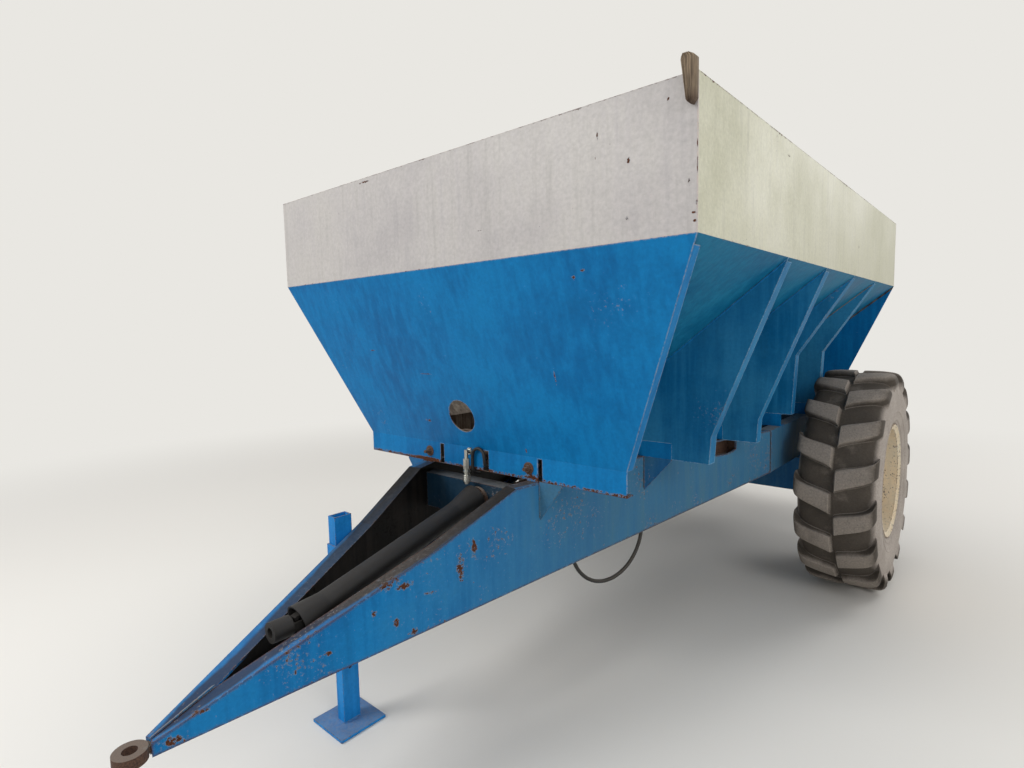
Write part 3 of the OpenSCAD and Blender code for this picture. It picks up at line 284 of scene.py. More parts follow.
def edge_bend(tree, radius):
    """1 on a flat face, and less the nearer an edge is, within that radius in metres."""
    rounded = add_node(tree, "Bevel", {"Radius": radius}, samples=4)
    flat = add_node(tree, "NewGeometry", out="Normal")
    return vector("DOT_PRODUCT", rounded, flat)


def enamel(name, paint, chalked, chips=0.5, edge_wear=0.5, dust=0.5, blotch=0.5, runs=0.35, gloss=0.14,
           edge_radius=EDGE_RADIUS, worn_line=None, tops=None, marks=(), bands=(), inner=None,
           inner_by=(1.0, 1.0, 0.0), inner_within=None, film=None):
    """Brushed alkyd enamel on steel: half gloss gone chalky, with chips, rust at edges and dust on top.
    worn_line is a colour rubbed pale along edges. tops are the colours of the drawbar's flanges: at the nose,
    grease, dust and scuffs. marks are rusty places (x, y, z, half width along x, y, z), and bands are rusty
    heights (z, half height, strength). inner is two colours of the side that faces the machine's middle, with
    inner_by its share of each direction, inner_within its half width at a height and its spread above. film is
    where dust begins and ends along y, its colour and how thick it gets."""
    material, tree, shader, place = new_material(name)
    shader.inputs["Specular IOR Level"].default_value = gloss
    facing = add_node(tree, "TexCoord", out="Normal")
    height = part_of(place, "Z")
    upward_face = part_of(facing, "Z")
    clouds = mottle(place, 520, 6.0, 0.62)
    fine = mottle(place, 14, 5.0, 0.7)
    grain = mottle(place, 3, 2.0)
    stretched = add_node(tree, "Mapping", {"Vector": place, "Scale": (1.0, 1.0, 0.07)})
    washed = mottle(stretched, 34, 4.0, 0.6)

    # Chalked patches and the runs that rain has washed down the face
    colour = mix(ramp(clouds, 0.36, 0.68, most=blotch), paint, chalked)
    colour = mix(ramp(washed, 0.45, 0.75, most=runs), colour, chalked)
    colour = mix(1.0, colour, ramp(fine, 0.3, 0.75, 0.86, 1.08), "MULTIPLY")
    grime = calc("ADD", washed, clouds)
    colour = mix(1.0, colour, ramp(grime, 0.75, 1.1, 0.82, 1.04), "MULTIPLY")

    # A film of dust that thickens along the machine
    if film:
        start, end, film_colour, most = film
        along = calc("ADD", part_of(place, "Y"), ramp(clouds, 0.0, 1.0, -0.45, 0.45))
        streaks = ramp(washed, 0.3, 0.7, 0.6)
        colour = mix(calc("MULTIPLY", ramp(along, start, end, most=most), streaks), colour, film_colour)

    # Flanges of the drawbar hold grease and dust; boots have scuffed them and kept their outer edge blue
    if tops:
        at_nose, greasy, dusty, scuffed_to = tops
        top = mix(ramp(calc("ADD", clouds, fine), 0.85, 1.15), greasy, dusty)
        top = mix(ramp(washed, 0.58, 0.68, most=0.35), top, scuffed_to)
        top = mix(ramp(part_of(place, "Y"), -2.3, -1.95), at_nose, top)
        web_x = calc("MULTIPLY_ADD", part_of(place, "Y"), WEB_SLOPE, WEB_X)
        within = calc("SUBTRACT", web_x, calc("ABSOLUTE", part_of(place, "X")))
        within = calc("ADD", within, ramp(clouds, 0.3, 0.7, -0.018, 0.018))
        on_top = calc("MULTIPLY", ramp(within, 0.012, 0.026), ramp(upward_face, 0.8, 0.88))
        colour = mix(on_top, colour, top)

    # Chips: a fine noise over a threshold that drops near edges, in rusty areas and at the marks
    bend = edge_bend(tree, edge_radius)
    edge = ramp(bend, 0.995, 0.9, most=0.24 * edge_wear)
    rusty = ramp(mottle(place, 230, 3.0), 0.45, 0.75, most=0.17)
    field = calc("ADD", calc("ADD", fine, edge), rusty)
    for band_z, reach, strength in bands:
        off = calc("ABSOLUTE", calc("SUBTRACT", height, band_z))
        field = calc("ADD", field, ramp(off, reach, reach * 0.4, most=strength))
    chip_level = 0.86 - 0.16 * chips
    nearest = None
    for x, y, z, half_x, half_y, half_z in marks:
        share = (1 / half_x, 1 / half_y, 1 / half_z)
        offset = (-x / half_x, -y / half_y, -z / half_z)
        away = vector("LENGTH", vector("MULTIPLY_ADD", place, share, offset, out="Vector"))
        nearest = away if nearest is None else calc("MINIMUM", nearest, away)
    if nearest is not None:
        field = calc("ADD", field, ramp(nearest, 1.8, 0.4, most=chip_level - 0.45))
    chip = ramp(field, chip_level, chip_level + 0.02)
    halo = ramp(field, chip_level - 0.1, chip_level + 0.01, most=0.4)
    rust = mix(ramp(grain, 0.35, 0.65), RUST_DARK, RUST)
    stain = mix(0.45, colour, RUST_LIGHT)
    if worn_line:
        rubbed = calc("MULTIPLY", ramp(bend, 0.97, 0.86), ramp(fine, 0.38, 0.58, 0.05, 0.75))
        colour = mix(rubbed, colour, worn_line)
    colour = mix(halo, colour, stain)
    primed = ramp(field, chip_level - 0.028, chip_level - 0.012, most=0.7)
    colour = mix(primed, colour, PRIMER)
    colour = mix(chip, colour, rust)

    # The side that faces the middle of the machine
    if inner:
        turned = vector("MULTIPLY", place, facing, out="Vector")
        inward = vector("DOT_PRODUCT", turned, (-inner_by[0], -inner_by[1], 0.0))
        inward = calc("ADD", inward, calc("MULTIPLY", upward_face, inner_by[2]))
        inside = ramp(inward, 0.01, 0.03)
        if inner_within:
            foot_half, foot_z, spread = inner_within
            above = calc("MAXIMUM", calc("SUBTRACT", height, foot_z), 0.0)
            limit = calc("MULTIPLY_ADD", above, spread, foot_half)
            within = calc("LESS_THAN", calc("ABSOLUTE", part_of(place, "X")), limit)
            inside = calc("MULTIPLY", inside, within)
        lining = mix(ramp(grime, 0.85, 1.12), inner[0], inner[1])
        lining = mix(1.0, lining, ramp(fine, 0.3, 0.7, 0.75, 1.2), "MULTIPLY")
        colour = mix(inside, colour, lining)

    # Dust that lies on faces that look up
    lying = calc("MULTIPLY", ramp(upward_face, 0.35, 0.95, most=dust), ramp(fine, 0.25, 0.65, 0.35))
    colour = mix(lying, colour, DUST)
    dull = calc("ADD", ramp(clouds, 0.3, 0.7, 0.4, 0.6), halo)
    dull = calc("ADD", dull, lying, use_clamp=True)

    # Sheet that has been knocked out of true, brush marks, and the paint's edge round each chip
    waves = bump(clouds, 0.3, 0.025)
    brushed = bump(fine, 0.18, 0.002, waves)
    chipped = bump(calc("SUBTRACT", 1.0, chip), 0.5, 0.0006, brushed)
    feed(shader, {"Base Color": colour, "Roughness": dull, "Normal": chipped})
    return material


def finish_nodes(material, *names):
    """Gives CAD nodes their finish."""
    for name in names:
        for material_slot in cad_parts[name].material_slots:
            material_slot.material = material


# Rust patches on the near web. Five of them were measured in the photograph,
# the others were given.
WEB_MARKS = [
    (0.2009, -1.8876, 0.792, 0.03, 0.045, 0.02), (0.218, -1.82, 0.77, 0.02, 0.03, 0.012),
    (0.2752, -1.5926, 0.768, 0.02, 0.012, 0.045), (0.2434, -1.7188, 0.713, 0.02, 0.022, 0.008),
    (0.21, -1.85, 0.64, 0.02, 0.01, 0.016), (0.226, -1.787, 0.585, 0.02, 0.016, 0.01),
    (0.1614, -2.0444, 0.76, 0.02, 0.05, 0.01), (0.13, -2.17, 0.7, 0.02, 0.03, 0.01),
    (0.29, -1.53, 0.84, 0.02, 0.01, 0.03), (0.0551, -2.4664, 0.561, 0.02, 0.03, 0.007),
    (0.04, -2.53, 0.5, 0.02, 0.03, 0.012), (0.095, -2.31, 0.64, 0.02, 0.014, 0.008),
    (0.19, -1.93, 0.7, 0.02, 0.008, 0.012), (0.15, -2.09, 0.61, 0.02, 0.012, 0.006)]
# Near-black for the beams' sides that face the middle: painted shade inside the A-frame
PAINTED_INNER_SHADE = ("#0C0A09", "#1D1916")
SIDEWAYS = (1.0, 0.0, 0.0)
BEAM_FILM = (-1.9, -0.9, BLUE_DUSTED, 0.85)
near_enamel = enamel(
    "near_beam_enamel", BLUE, BLUE_CHALKED, chips=0.85, edge_wear=1.25, dust=0.1, blotch=0.6, runs=0.5,
    edge_radius=0.016, worn_line="#7FA3BE", tops=("#0E2F50", "#262321", "#4A4441", "#8E949A"), marks=WEB_MARKS,
    inner=PAINTED_INNER_SHADE, inner_by=SIDEWAYS, film=BEAM_FILM)
far_enamel = enamel(
    "far_beam_enamel", BLUE, BLUE_CHALKED, chips=0.8, edge_wear=0.8, dust=0.1, blotch=0.5, edge_radius=0.012,
    tops=("#0E2F50", "#12304B", "#1D3A55", "#5D7386"), inner=PAINTED_INNER_SHADE, inner_by=SIDEWAYS, film=BEAM_FILM)
finish_nodes(far_enamel, "drawbar_beam_right")
rail_enamel = enamel(
    "rail_enamel", BLUE, BLUE_DUSTED, chips=0.75, edge_wear=0.9, dust=0.75, blotch=0.85, runs=0.6,
    inner=("#2A2521", "#3A342E"), inner_by=SIDEWAYS, film=(-1.2, 0.4, BLUE_DUSTED, 0.7))
finish_nodes(rail_enamel, "frame_rail_left", "frame_rail_right")

# Cross-members and gussets are cut from the same plate and welded between the
# beams, and so is the axle box. They are dustier, for nothing rubs them clean.
frame_enamel = enamel("frame_enamel", "#0F639E", BLUE_DUSTED, chips=0.6, edge_wear=0.7, dust=0.8, blotch=0.9)
finish_nodes(frame_enamel, "gussets", "axle_box", "gearbox_frame", "spinner_shield")
# The cross-members get a much darker blue and grey: painted shade between the beams under the hopper
shaded_cross_member_enamel = enamel("shaded_cross_member_enamel", "#12334B", "#2B3A42", chips=0.8, edge_wear=0.9, dust=0.35, blotch=0.9)
finish_nodes(shaded_cross_member_enamel, "cross_members")

# Towing eye, stub axles, shafts and bearings: forged and turned steel that has
# never been painted. It is brown with fine even rust, with brighter rubbed
# patches where chains, pins and bearings have worked on it.


def rusted_steel(name, bare, rusted, bare_share=0.35, dust=0.35):
    """Mild steel left outdoors: thin tight rust with a few rubbed metallic patches."""
    material, tree, shader, place = new_material(name)
    facing = add_node(tree, "TexCoord", out="Normal")
    patches = mottle(place, 60, 6.0, 0.65)
    pits = mottle(place, 4, 3.0)
    bend = edge_bend(tree, 0.004)
    field = calc("ADD", patches, ramp(bend, 0.99, 0.85, most=0.12))
    bare_level = 0.72 - 0.3 * bare_share
    metal = ramp(field, bare_level, bare_level + 0.12)
    colour = mix(metal, mix(ramp(pits, 0.3, 0.7), RUST_DARK, rusted), bare)
    up = part_of(facing, "Z")
    colour = mix(ramp(up, 0.3, 0.95, most=dust), colour, DUST)
    shine = calc("MULTIPLY", metal, 0.75)
    dull = ramp(metal, 0.0, 1.0, 0.85, 0.42)
    pitted = bump(pits, 0.35, 0.0008)
    feed(shader, {"Base Color": colour, "Metallic": shine, "Roughness": dull, "Normal": pitted})
    return material


forged_steel = rusted_steel("forged_steel", "#6A6661", "#5E4332")
finish_nodes(forged_steel, "hitch_eye", "stub_axles", "guard_rest", "take_up_bolts", "line_shaft", "hose_clips")

# Welds and bolts hold the frame together. A weld is a lumpy bead laid along a
# seam, and every bolt is a hexagon head on a washer.


def new_piece(name, bm, material, body="chassis", sharp=35):
    """Makes an object of a bmesh, with edges over the given angle kept sharp."""
    bmesh.ops.recalc_face_normals(bm, faces=bm.faces)
    for edge in bm.edges:
        edge.smooth = not (edge.is_manifold and edge.calc_face_angle(0.0) > radians(sharp))
    for face in bm.faces:
        face.smooth = True
    mesh = bpy.data.meshes.new(name)
    bm.to_mesh(mesh)
    bm.free()
    mesh.materials.append(material)
    piece = add_object(name, mesh)
    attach(piece, body)
    return piece


def turns(count):
    """That many angles, evenly round a full turn."""
    return [k * tau / count for k in range(count)]


def join_rings(bm, rings, capped=True):
    """Faces between rows of vertices that run round a form, and over both ends of it."""
    for first, second in zip(rings, rings[1:]):
        count = len(first)
        for k in range(count):
            bm.faces.new((first[k], first[(k + 1) % count], second[(k + 1) % count], second[k]))
    if capped:
        bm.faces.new(rings[0])
        bm.faces.new(rings[-1])


def add_bead(bm, start, end, radius=0.004, seed=1):
    """A weld bead: a tube of six sides whose rings swell and shrink like laid ripples."""
    start, end = Vector(start), Vector(end)
    run = (end - start).normalized()
    side = run.orthogonal().normalized()
    over = run.cross(side)
    count = max(4, int((end - start).length / 0.008))
    draw = random.Random(seed)
    rings = []
    for i in range(count + 1):
        middle = start.lerp(end, i / count)
        swell = radius * (0.8 + 0.35 * abs(sin(i * 1.4)) + draw.uniform(-0.08, 0.08))
        if i in (0, count):
            swell = radius * 0.35
        rings.append([bm.verts.new(middle + (side * cos(a) + over * sin(a)) * swell) for a in turns(6)])
    join_rings(bm, rings)


def add_turned(bm, base, axis, outline, corners=24):
    """A turned form that stands on its base along the axis: columns of its outline are radius and height."""
    turn = Vector(axis).normalized().to_track_quat("Z", "Y").to_matrix().to_4x4()
    seat = Matrix.Translation(Vector(base)) @ turn
    join_rings(bm, [[bm.verts.new(seat @ Vector((radius * cos(a), radius * sin(a), height)))
                     for a in turns(corners)] for radius, height in outline])


def add_bolt(bm, seat, axis, across_flats=0.024):
    """A hexagon bolt on a washer, its head's top turned down to a chamfer."""
    washer = 0.62 * across_flats * 1.15
    head = across_flats / sqrt(3)
    tall = across_flats * 0.62
    add_turned(bm, seat, axis, [(washer, -0.001), (washer, 0.0022), (washer * 0.9, 0.0024)])
    add_turned(bm, seat, axis, [(head, 0.0023), (head, tall * 0.86), (head * 0.88, tall), (head * 0.3, tall * 1.02)], 6)


def beam_x(y):
    """How far out the left beam's face lies at that place along the machine."""
    return NOSE_HALF + (y - FRONT_Y + NOSE_AHEAD) * WEB_SLOPE


welds = bmesh.new()
rail_low, rail_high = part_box("frame_rail_left")
axle_low, axle_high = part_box("axle_box")
# Columns: place behind the front board and height of a gusset's top
GUSSET_TOPS = [(0.2505, 1.048), (0.8635, 1.068)]
GUSSET_TALL = 0.155
# Columns: height at the nose, how far the seam rises, seed
NOSE_SEAMS = [(0.518, 0.0735, 7), (0.472, 0.0193, 8)]
for side in (-1, 1):
    # Rails to the drawbar's beams
    x = side * (rail_high.x + 0.001)
    for z in (rail_low.z + 0.004, rail_high.z - 0.004):
        add_bead(welds, (x, rail_low.y, z), (side * (rail_high.x - 0.06), rail_low.y, z), 0.004)
    add_bead(welds, (x, rail_low.y, rail_low.z + 0.006), (x, rail_low.y, rail_high.z - 0.006), 0.0045, seed=3)
    # Gussets to the webs, and axle pads to the rails
    for behind, top in GUSSET_TOPS:
        y = FRONT_Y + behind
        x = side * (beam_x(y) + 0.001)
        add_bead(welds, (x, y, top - GUSSET_TALL), (x, y, top), 0.0035, seed=5)
    for y in (axle_low.y + 0.02, axle_high.y - 0.02):
        add_bead(welds, (side * (rail_high.x - 0.098), y, axle_high.z), (side * (rail_high.x - 0.002), y, axle_high.z),
                 0.005)
for z, rise, seed in NOSE_SEAMS:
    add_bead(welds, (0, FRONT_Y - 1.122, z), (0, FRONT_Y - 0.934, z + rise), 0.004, seed=seed)
new_piece("frame_welds", welds, rail_enamel, "chassis")

# The left web has a notch torched out of its upper edge between the feet of
# the first two ribs, with a rusty steel pocket welded on behind it. The
# notched beam is the CAD's own mesh less the notch, and stands for it.
# Columns: place along the machine, height, of the notch's corners
NOTCH = [(-0.085, 1.12), (-0.085, 0.998), (-0.04, 0.99), (0.04, 0.99), (0.085, 0.997), (0.112, 1.008),
         (0.112, 1.12)]
WEB_THICK = 0.008
cutter = bmesh.new()
join_rings(cutter, [[cutter.verts.new((beam_x(y) + dx, y, z)) for y, z in NOTCH] for dx in (0.02, -WEB_THICK - 0.003)])
bmesh.ops.recalc_face_normals(cutter, faces=cutter.faces)
cutter_mesh = bpy.data.meshes.new("notch_cutter")
cutter.to_mesh(cutter_mesh)
cutter.free()
cutter_object = add_object("notch_cutter", cutter_mesh)
whole = add_object("whole_beam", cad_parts["drawbar_beam_left"].data.copy())
cut = whole.modifiers.new("notch", "BOOLEAN")
cut.operation = "DIFFERENCE"
cut.solver = "EXACT"
cut.object = cutter_object
bpy.context.view_layer.update()
notched = bmesh.new()
notched.from_mesh(whole.evaluated_get(bpy.context.evaluated_depsgraph_get()).to_mesh())
for helper in (cutter_object, whole):
    bpy.data.objects.remove(helper)
for face in notched.faces:
    face.material_index = 0
notched_beam = new_piece("notched_beam_left", notched, near_enamel, "chassis", sharp=20)
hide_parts("drawbar_beam_left")
pocket = bmesh.new()
# Columns: the end nearer the nose and the other, bottom and top, depth behind the web from and to
POCKET_PLATES = [(-0.101, 0.128, 0.975, 0.981, 0.0003, 0.056), (-0.101, -0.095, 0.981, 1.061, 0.0003, 0.05),
                 (0.122, 0.128, 0.981, 1.061, 0.0003, 0.05), (-0.101, 0.128, 0.981, 1.061, 0.05, 0.056)]
for start, end, low, high, shallow, deep in POCKET_PLATES:
    corners = ((start, high), (start, low), (end, low), (end, high))
    join_rings(pocket, [[pocket.verts.new((beam_x(y) - WEB_THICK - dx, y, z)) for y, z in corners]
                        for dx in (shallow, deep)])
new_piece("notch_pocket", pocket, forged_steel)

bolts = bmesh.new()
BEARING_Y = [0.264, 1.25, 1.966]
BEARING_HALF_DEEP = 0.0163
BEARING_BOLT_OFF = 0.034
LINE_SHAFT_Z = 0.905
for y in BEARING_Y:
    for dx in (-BEARING_BOLT_OFF, BEARING_BOLT_OFF):
        for dz in (-BEARING_BOLT_OFF, BEARING_BOLT_OFF):
            add_bolt(bolts, (dx, FRONT_Y + y - BEARING_HALF_DEEP, LINE_SHAFT_Z + dz), (0, -1, 0), 0.019)
new_piece("bearing_bolts", bolts, forged_steel)

# Wheels: 16.9 inch traction tyres of carbon-black rubber that sun has bleached
# brown-grey. Sixteen lugs a side slope from the middle up to the shoulder and
# run down the sidewall; the two sides are half a pitch apart.
LUGS = 16
LUG_PHASE = radians(2.7)
LUG_RISE = radians(9.6)
LUG_BASE = 0.07
LUG_TOP = 0.057
TYRE_STEPS = 160
SIDES = ((1, "left"), (-1, "right"))
RUBBER_GLOSS = 0.3
TREAD_TIPS = [(0.004, 0.6905), (0.05, 0.6922), (0.11, 0.6915), (0.16, 0.688), (0.192, 0.679),
              (0.207, 0.66), (0.213, 0.63), (0.2125, 0.602)]
TREAD_ROOTS = [(0.01, 0.648), (0.05, 0.648), (0.11, 0.642), (0.155, 0.628), (0.18, 0.614),
               (0.192, 0.6), (0.2, 0.585), (0.204, 0.574)]
CASING = [(0.0, 0.6565), (0.06, 0.6555), (0.115, 0.6505), (0.155, 0.64), (0.183, 0.62), (0.199, 0.592),
          (0.2075, 0.56), (0.212, 0.528), (0.213, 0.5), (0.2115, 0.47), (0.2085, 0.448), (0.2105, 0.443),
          (0.21, 0.436), (0.206, 0.43), (0.204, 0.414), (0.1995, 0.396), (0.2015, 0.39), (0.2005, 0.382),
          (0.196, 0.377), (0.193, 0.366), (0.187, 0.36), (0.18, 0.34), (0.17, 0.331), (0.15, 0.334),
          (0.158, 0.372), (0.18, 0.44), (0.186, 0.51), (0.176, 0.58), (0.14, 0.616), (0.07, 0.626), (0.0, 0.628)]


def smooth_row(points, steps):
    """Points along a soft curve through the given ones."""
    row = []
    for i in range(len(points) - 1):
        before = Vector(points[max(i - 1, 0)])
        a, b = Vector(points[i]), Vector(points[i + 1])
        after = Vector(points[min(i + 2, len(points) - 1)])
        for step in range(steps):
            t = step / steps
            row.append(0.5 * ((2 * a) + (b - before) * t + (2 * before - 5 * a + 4 * b - after) * t * t
                              + (3 * a - before - 3 * b + after) * t ** 3))
    row.append(Vector(points[-1]))
    return row


def add_lug(bm, hub_place, side, turn, draw):
    """One lug: sections along its slope, each a worn trapezoid from the casing out to the tread."""
    tips = smooth_row(TREAD_TIPS, 3)
    roots = smooth_row(TREAD_ROOTS, 3)
    # Columns: share of the height, place across the lug at that height
    section = [(0.0, -1.0), (0.5, -1.0), (0.82, -1.0), (0.94, -0.95), (0.99, -0.82), (1.0, -0.5), (1.0, 0.0),
               (1.0, 0.5), (0.99, 0.82), (0.94, 0.95), (0.82, 1.0), (0.5, 1.0), (0.0, 1.0)]
    worn_down = draw.uniform(0.0, 0.0022)
    last = len(tips) - 1
    rows = []
    for i, (tip, root) in enumerate(zip(tips, roots)):
        t = i / last
        slope = turn - LUG_RISE * min(1.0, t * 1.12) ** 0.92
        narrow = 1.0 - 0.13 * sin(pi * min(1.0, t * 1.1))
        tall = 0.6 if i == 0 else 0.45 if i == last else 1.0
        row = []
        for height, across in section:
            wear = 0.0013 * abs(noise.noise(Vector((i * 0.7, across * 2.0, turn * 9.0)))) + worn_down
            x = root.x + (tip.x - root.x) * height * tall
            r = root.y + (tip.y - root.y) * height * tall - (wear if height > 0.9 else 0.0)
            half_width = (LUG_BASE + (LUG_TOP - LUG_BASE) * height) * narrow
            a = slope + across * half_width / 0.69
            row.append(bm.verts.new(hub_place + Vector((side * x, r * sin(a), -r * cos(a)))))
        rows.append(row)
    join_rings(bm, rows)


def tyre_rubber(name, hub_place):
    """Bleached rubber: pale on the lugs' worn faces, dark between them as painted shade, lug edges pale from wear and a
    painted highlight, fine cracks on the wall.
    """
    material, tree, shader, place = new_material(name)
    shader.inputs["Specular IOR Level"].default_value = RUBBER_GLOSS
    from_hub = add_node(tree, "Mapping", {"Vector": place, "Location": (0.0, -hub_place.y, -hub_place.z),
                                          "Scale": (0.0, 1.0, 1.0)})
    radius = vector("LENGTH", from_hub)
    clouds = mottle(place, 160, 6.0, 0.65)
    fine = mottle(place, 9, 5.0, 0.7)
    rough_radius = calc("ADD", radius, ramp(clouds, 0.0, 1.0, -0.03, 0.03))
    # Painted shade: the grooves between the lugs, below the tread, are dark brown-grey; the lug faces are pale with
    # wear
    groove_painted_shade = mix(clouds, "#312C28", "#5A5249")
    colour = mix(ramp(rough_radius, 0.66, 0.689), groove_painted_shade, "#8D847B")
    sidewall = mix(clouds, "#857D76", "#BDB3AA")
    colour = mix(ramp(rough_radius, 0.625, 0.585), colour, sidewall)
    colour = mix(1.0, colour, ramp(fine, 0.3, 0.7, 0.78, 1.18), "MULTIPLY")
    # Paler lug edges near the tread: part wear, part painted highlight
    bend = edge_bend(tree, 0.01)
    worn_and_highlit_edge = calc("MULTIPLY", ramp(bend, 0.98, 0.84, most=0.55), ramp(radius, 0.6, 0.67))
    colour = mix(worn_and_highlit_edge, colour, "#A39A90")
    cracks = add_node(tree, "TexVoronoi", {"Vector": place, "Scale": per_mm(16)}, feature="DISTANCE_TO_EDGE",
                      out="Distance")
    colour = mix(ramp(cracks, 0.045, 0.0, most=0.35), colour, "#2C2824")
    dull = ramp(fine, 0.0, 1.0, 0.72, 0.95)
    cracked = bump(cracks, 0.25, 0.002)
    scuffed = bump(fine, 0.4, 0.0025, cracked)
    feed(shader, {"Base Color": colour, "Roughness": dull, "Normal": scuffed})
    return material


for side, word in SIDES:
    low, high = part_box("tyre_" + word)
    hub_place = (low + high) / 2
    draw = random.Random(11 + side)
    bm = bmesh.new()
    profile = smooth_row(CASING, 2)
    half_rows = {}
    for flank in (1, -1):
        points = profile if flank == 1 else profile[1:-1]
        half_rows[flank] = [
            [bm.verts.new(hub_place + Vector((flank * point.x, point.y * sin(a), -point.y * cos(a))))
             for a in turns(TYRE_STEPS)] for point in points]
    mirror_rows = [half_rows[1][0]] + half_rows[-1] + [half_rows[1][-1]]
    for rows in (half_rows[1], mirror_rows):
        join_rings(bm, rows, capped=False)
    for flank in (1, -1):
        for i in range(LUGS):
            half_pitch = 0.5 if flank == side else 0.0
            add_lug(bm, hub_place, flank, (i + half_pitch) * tau / LUGS + LUG_PHASE, draw)
    tyre = new_piece("traction_tyre_" + word, bm, tyre_rubber("bleached_rubber_" + word, hub_place),
                     "wheel_" + word, sharp=28)
    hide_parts("tyre_" + word)

# Rims: pressed steel in cream enamel. Stones and damp have taken the enamel off
# the flanges and left the dish streaked with ochre rust. Hubs are cast iron.
rim_enamel = enamel(
    "rim_enamel", "#E9DEC6", "#C9AE86", chips=1.45, edge_wear=0.7, dust=0.25, blotch=0.6, runs=0.5,
    worn_line="#F1EBDD")
rusty_rim_enamel = enamel(
    "rusty_rim_enamel", "#C5A981", "#8A6242", chips=2.1, edge_wear=0.5, dust=0.25, blotch=0.9, runs=0.7,
    worn_line="#E6DAC4")
finish_nodes(rim_enamel, "rim_left", "rim_right")
hub_iron = rusted_steel("hub_iron", "#57534E", "#7A4F33", bare_share=0.2)
finish_nodes(hub_iron, "hub_left", "hub_right")

# Pressed dish, rolled flange edges and valve of each rim, and the hub's cap
RIM_HALF = (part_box("rim_left")[1].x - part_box("rim_left")[0].x) / 2
RIM_STEPS = 96
RIM_FACE = 0.026
LIP_RADIUS = 0.349
LIP_ROUND = 0.0075
VALVE_RADIUS = 0.29
# Columns: radius and how far the pressing stands out of the disc
DISH = [(0.172, -0.002), (0.18, 0.006), (0.194, 0.012), (0.216, 0.013), (0.226, 0.006), (0.24, 0.005),
        (0.248, 0.012), (0.262, 0.014), (0.276, 0.006), (0.281, -0.002)]


def wheel_ring(bm, middle, x, radius):
    """A ring of vertices round the wheel's axle."""
    return [bm.verts.new(Vector((x, middle.y + radius * sin(a), middle.z + radius * cos(a))))
            for a in turns(RIM_STEPS)]


for side, word in SIDES:
    low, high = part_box("rim_" + word)
    middle = (low + high) / 2
    out = Vector((side, 0, 0))
    bm = bmesh.new()
    face_x = middle.x + side * RIM_FACE
    rings = [wheel_ring(bm, middle, face_x + side * proud, radius) for radius, proud in DISH]
    join_rings(bm, rings + rings[:1], capped=False)
    new_piece("rim_pressing_" + word, bm, rusty_rim_enamel, "wheel_" + word, sharp=50)
    bm = bmesh.new()
    for end in (1, -1):
        rings = [wheel_ring(bm, middle, middle.x + end * (RIM_HALF - LIP_ROUND) + LIP_ROUND * sin(b),
                            LIP_RADIUS + LIP_ROUND * cos(b)) for b in turns(10)]
        join_rings(bm, rings + rings[:1], capped=False)
    new_piece("rim_edges_" + word, bm, rim_enamel, "wheel_" + word, sharp=50)
    bm = bmesh.new()
    valve_a = radians(38 if side > 0 else 200)
    valve = Vector((middle.x + side * 0.06, middle.y + VALVE_RADIUS * sin(valve_a),
                    middle.z + VALVE_RADIUS * cos(valve_a)))
    inward = middle - valve
    inward.x = 0
    add_turned(bm, valve - inward.normalized() * 0.006, inward.normalized() + out * 0.9,
               [(0.008, 0.0), (0.008, 0.008), (0.005, 0.012), (0.004, 0.044), (0.0052, 0.046), (0.0052, 0.056)], 12)
    cap_low, cap_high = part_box("hub_" + word)
    cap_x = cap_high.x if side > 0 else cap_low.x
    add_turned(bm, (cap_x - side * 0.001, middle.y, middle.z), out,
               [(0.058, 0.0), (0.058, 0.006), (0.05, 0.012), (0.03, 0.019), (0.01, 0.0215)], 40)
    add_turned(bm, (cap_x + side * 0.019, middle.y, middle.z), out,
               [(0.006, 0.0), (0.006, 0.004), (0.0035, 0.005), (0.0035, 0.011), (0.0015, 0.013)], 12)
    new_piece("valve_and_cap_" + word, bm, hub_iron, "wheel_" + word, sharp=40)

# Hopper: 5 mm sheet in the same blue enamel, brushed over on top of dents and
# scrapes. Inside it is scoured to rusty steel with a pale crust of old lime.
LIME = "#7C7468"
SCOURED = "#3A2B23"
HOPPER_INSIDE = (0.312, 1.262, 1.2647)
WALL_BLUE = "#0068A6"
WALL_CHALKED = "#0F7AB2"
SIDE_BLUE = "#086692"
SIDE_CHALKED = "#217B9C"
LINING = {"inner": (SCOURED, LIME), "inner_by": (1.0, 1.0, 1.2), "inner_within": HOPPER_INSIDE}
wall_enamel = enamel(
    "wall_enamel", WALL_BLUE, WALL_CHALKED, chips=0.25, edge_wear=0.5, dust=0.4, blotch=0.6, **LINING)
finish_nodes(wall_enamel, "rear_wall", "channel_side_left", "channel_side_right", "gate", "gate_guides")
side_enamel = enamel(
    "side_wall_enamel", SIDE_BLUE, SIDE_CHALKED, chips=0.3, edge_wear=0.5, dust=0.4, blotch=0.7, runs=0.45,
    **LINING)
finish_nodes(side_enamel, "side_wall_left", "side_wall_right")
# Scrapes and chips on the front wall: the first four and the sixth were
# measured in the photograph, the others were given
FRONT_MARKS = [
    (-0.204, -1.3277, 1.4915, 0.055, 0.02, 0.0022), (-0.28, -1.257, 1.259, 0.018, 0.02, 0.007),
    (0.7528, -1.4448, 1.8762, 0.008, 0.01, 0.006), (0.7119, -1.4388, 1.8567, 0.009, 0.01, 0.01),
    (0.545, -1.33, 1.5, 0.004, 0.02, 0.028), (0.311, -1.226, 1.172, 0.004, 0.01, 0.009),
    (-0.56, -1.36, 1.6, 0.018, 0.02, 0.003), (0.33, -1.216, 1.07, 0.04, 0.01, 0.008),
    (-0.33, -1.216, 1.06, 0.06, 0.01, 0.01)]
front_enamel = enamel(
    "front_wall_enamel", WALL_BLUE, WALL_CHALKED, chips=0.3, edge_wear=0.75, dust=0.4, blotch=0.6,
    marks=FRONT_MARKS, bands=((1.052, 0.018, 0.3),), worn_line="#B5AA94", **LINING)
finish_nodes(front_enamel, "front_wall")

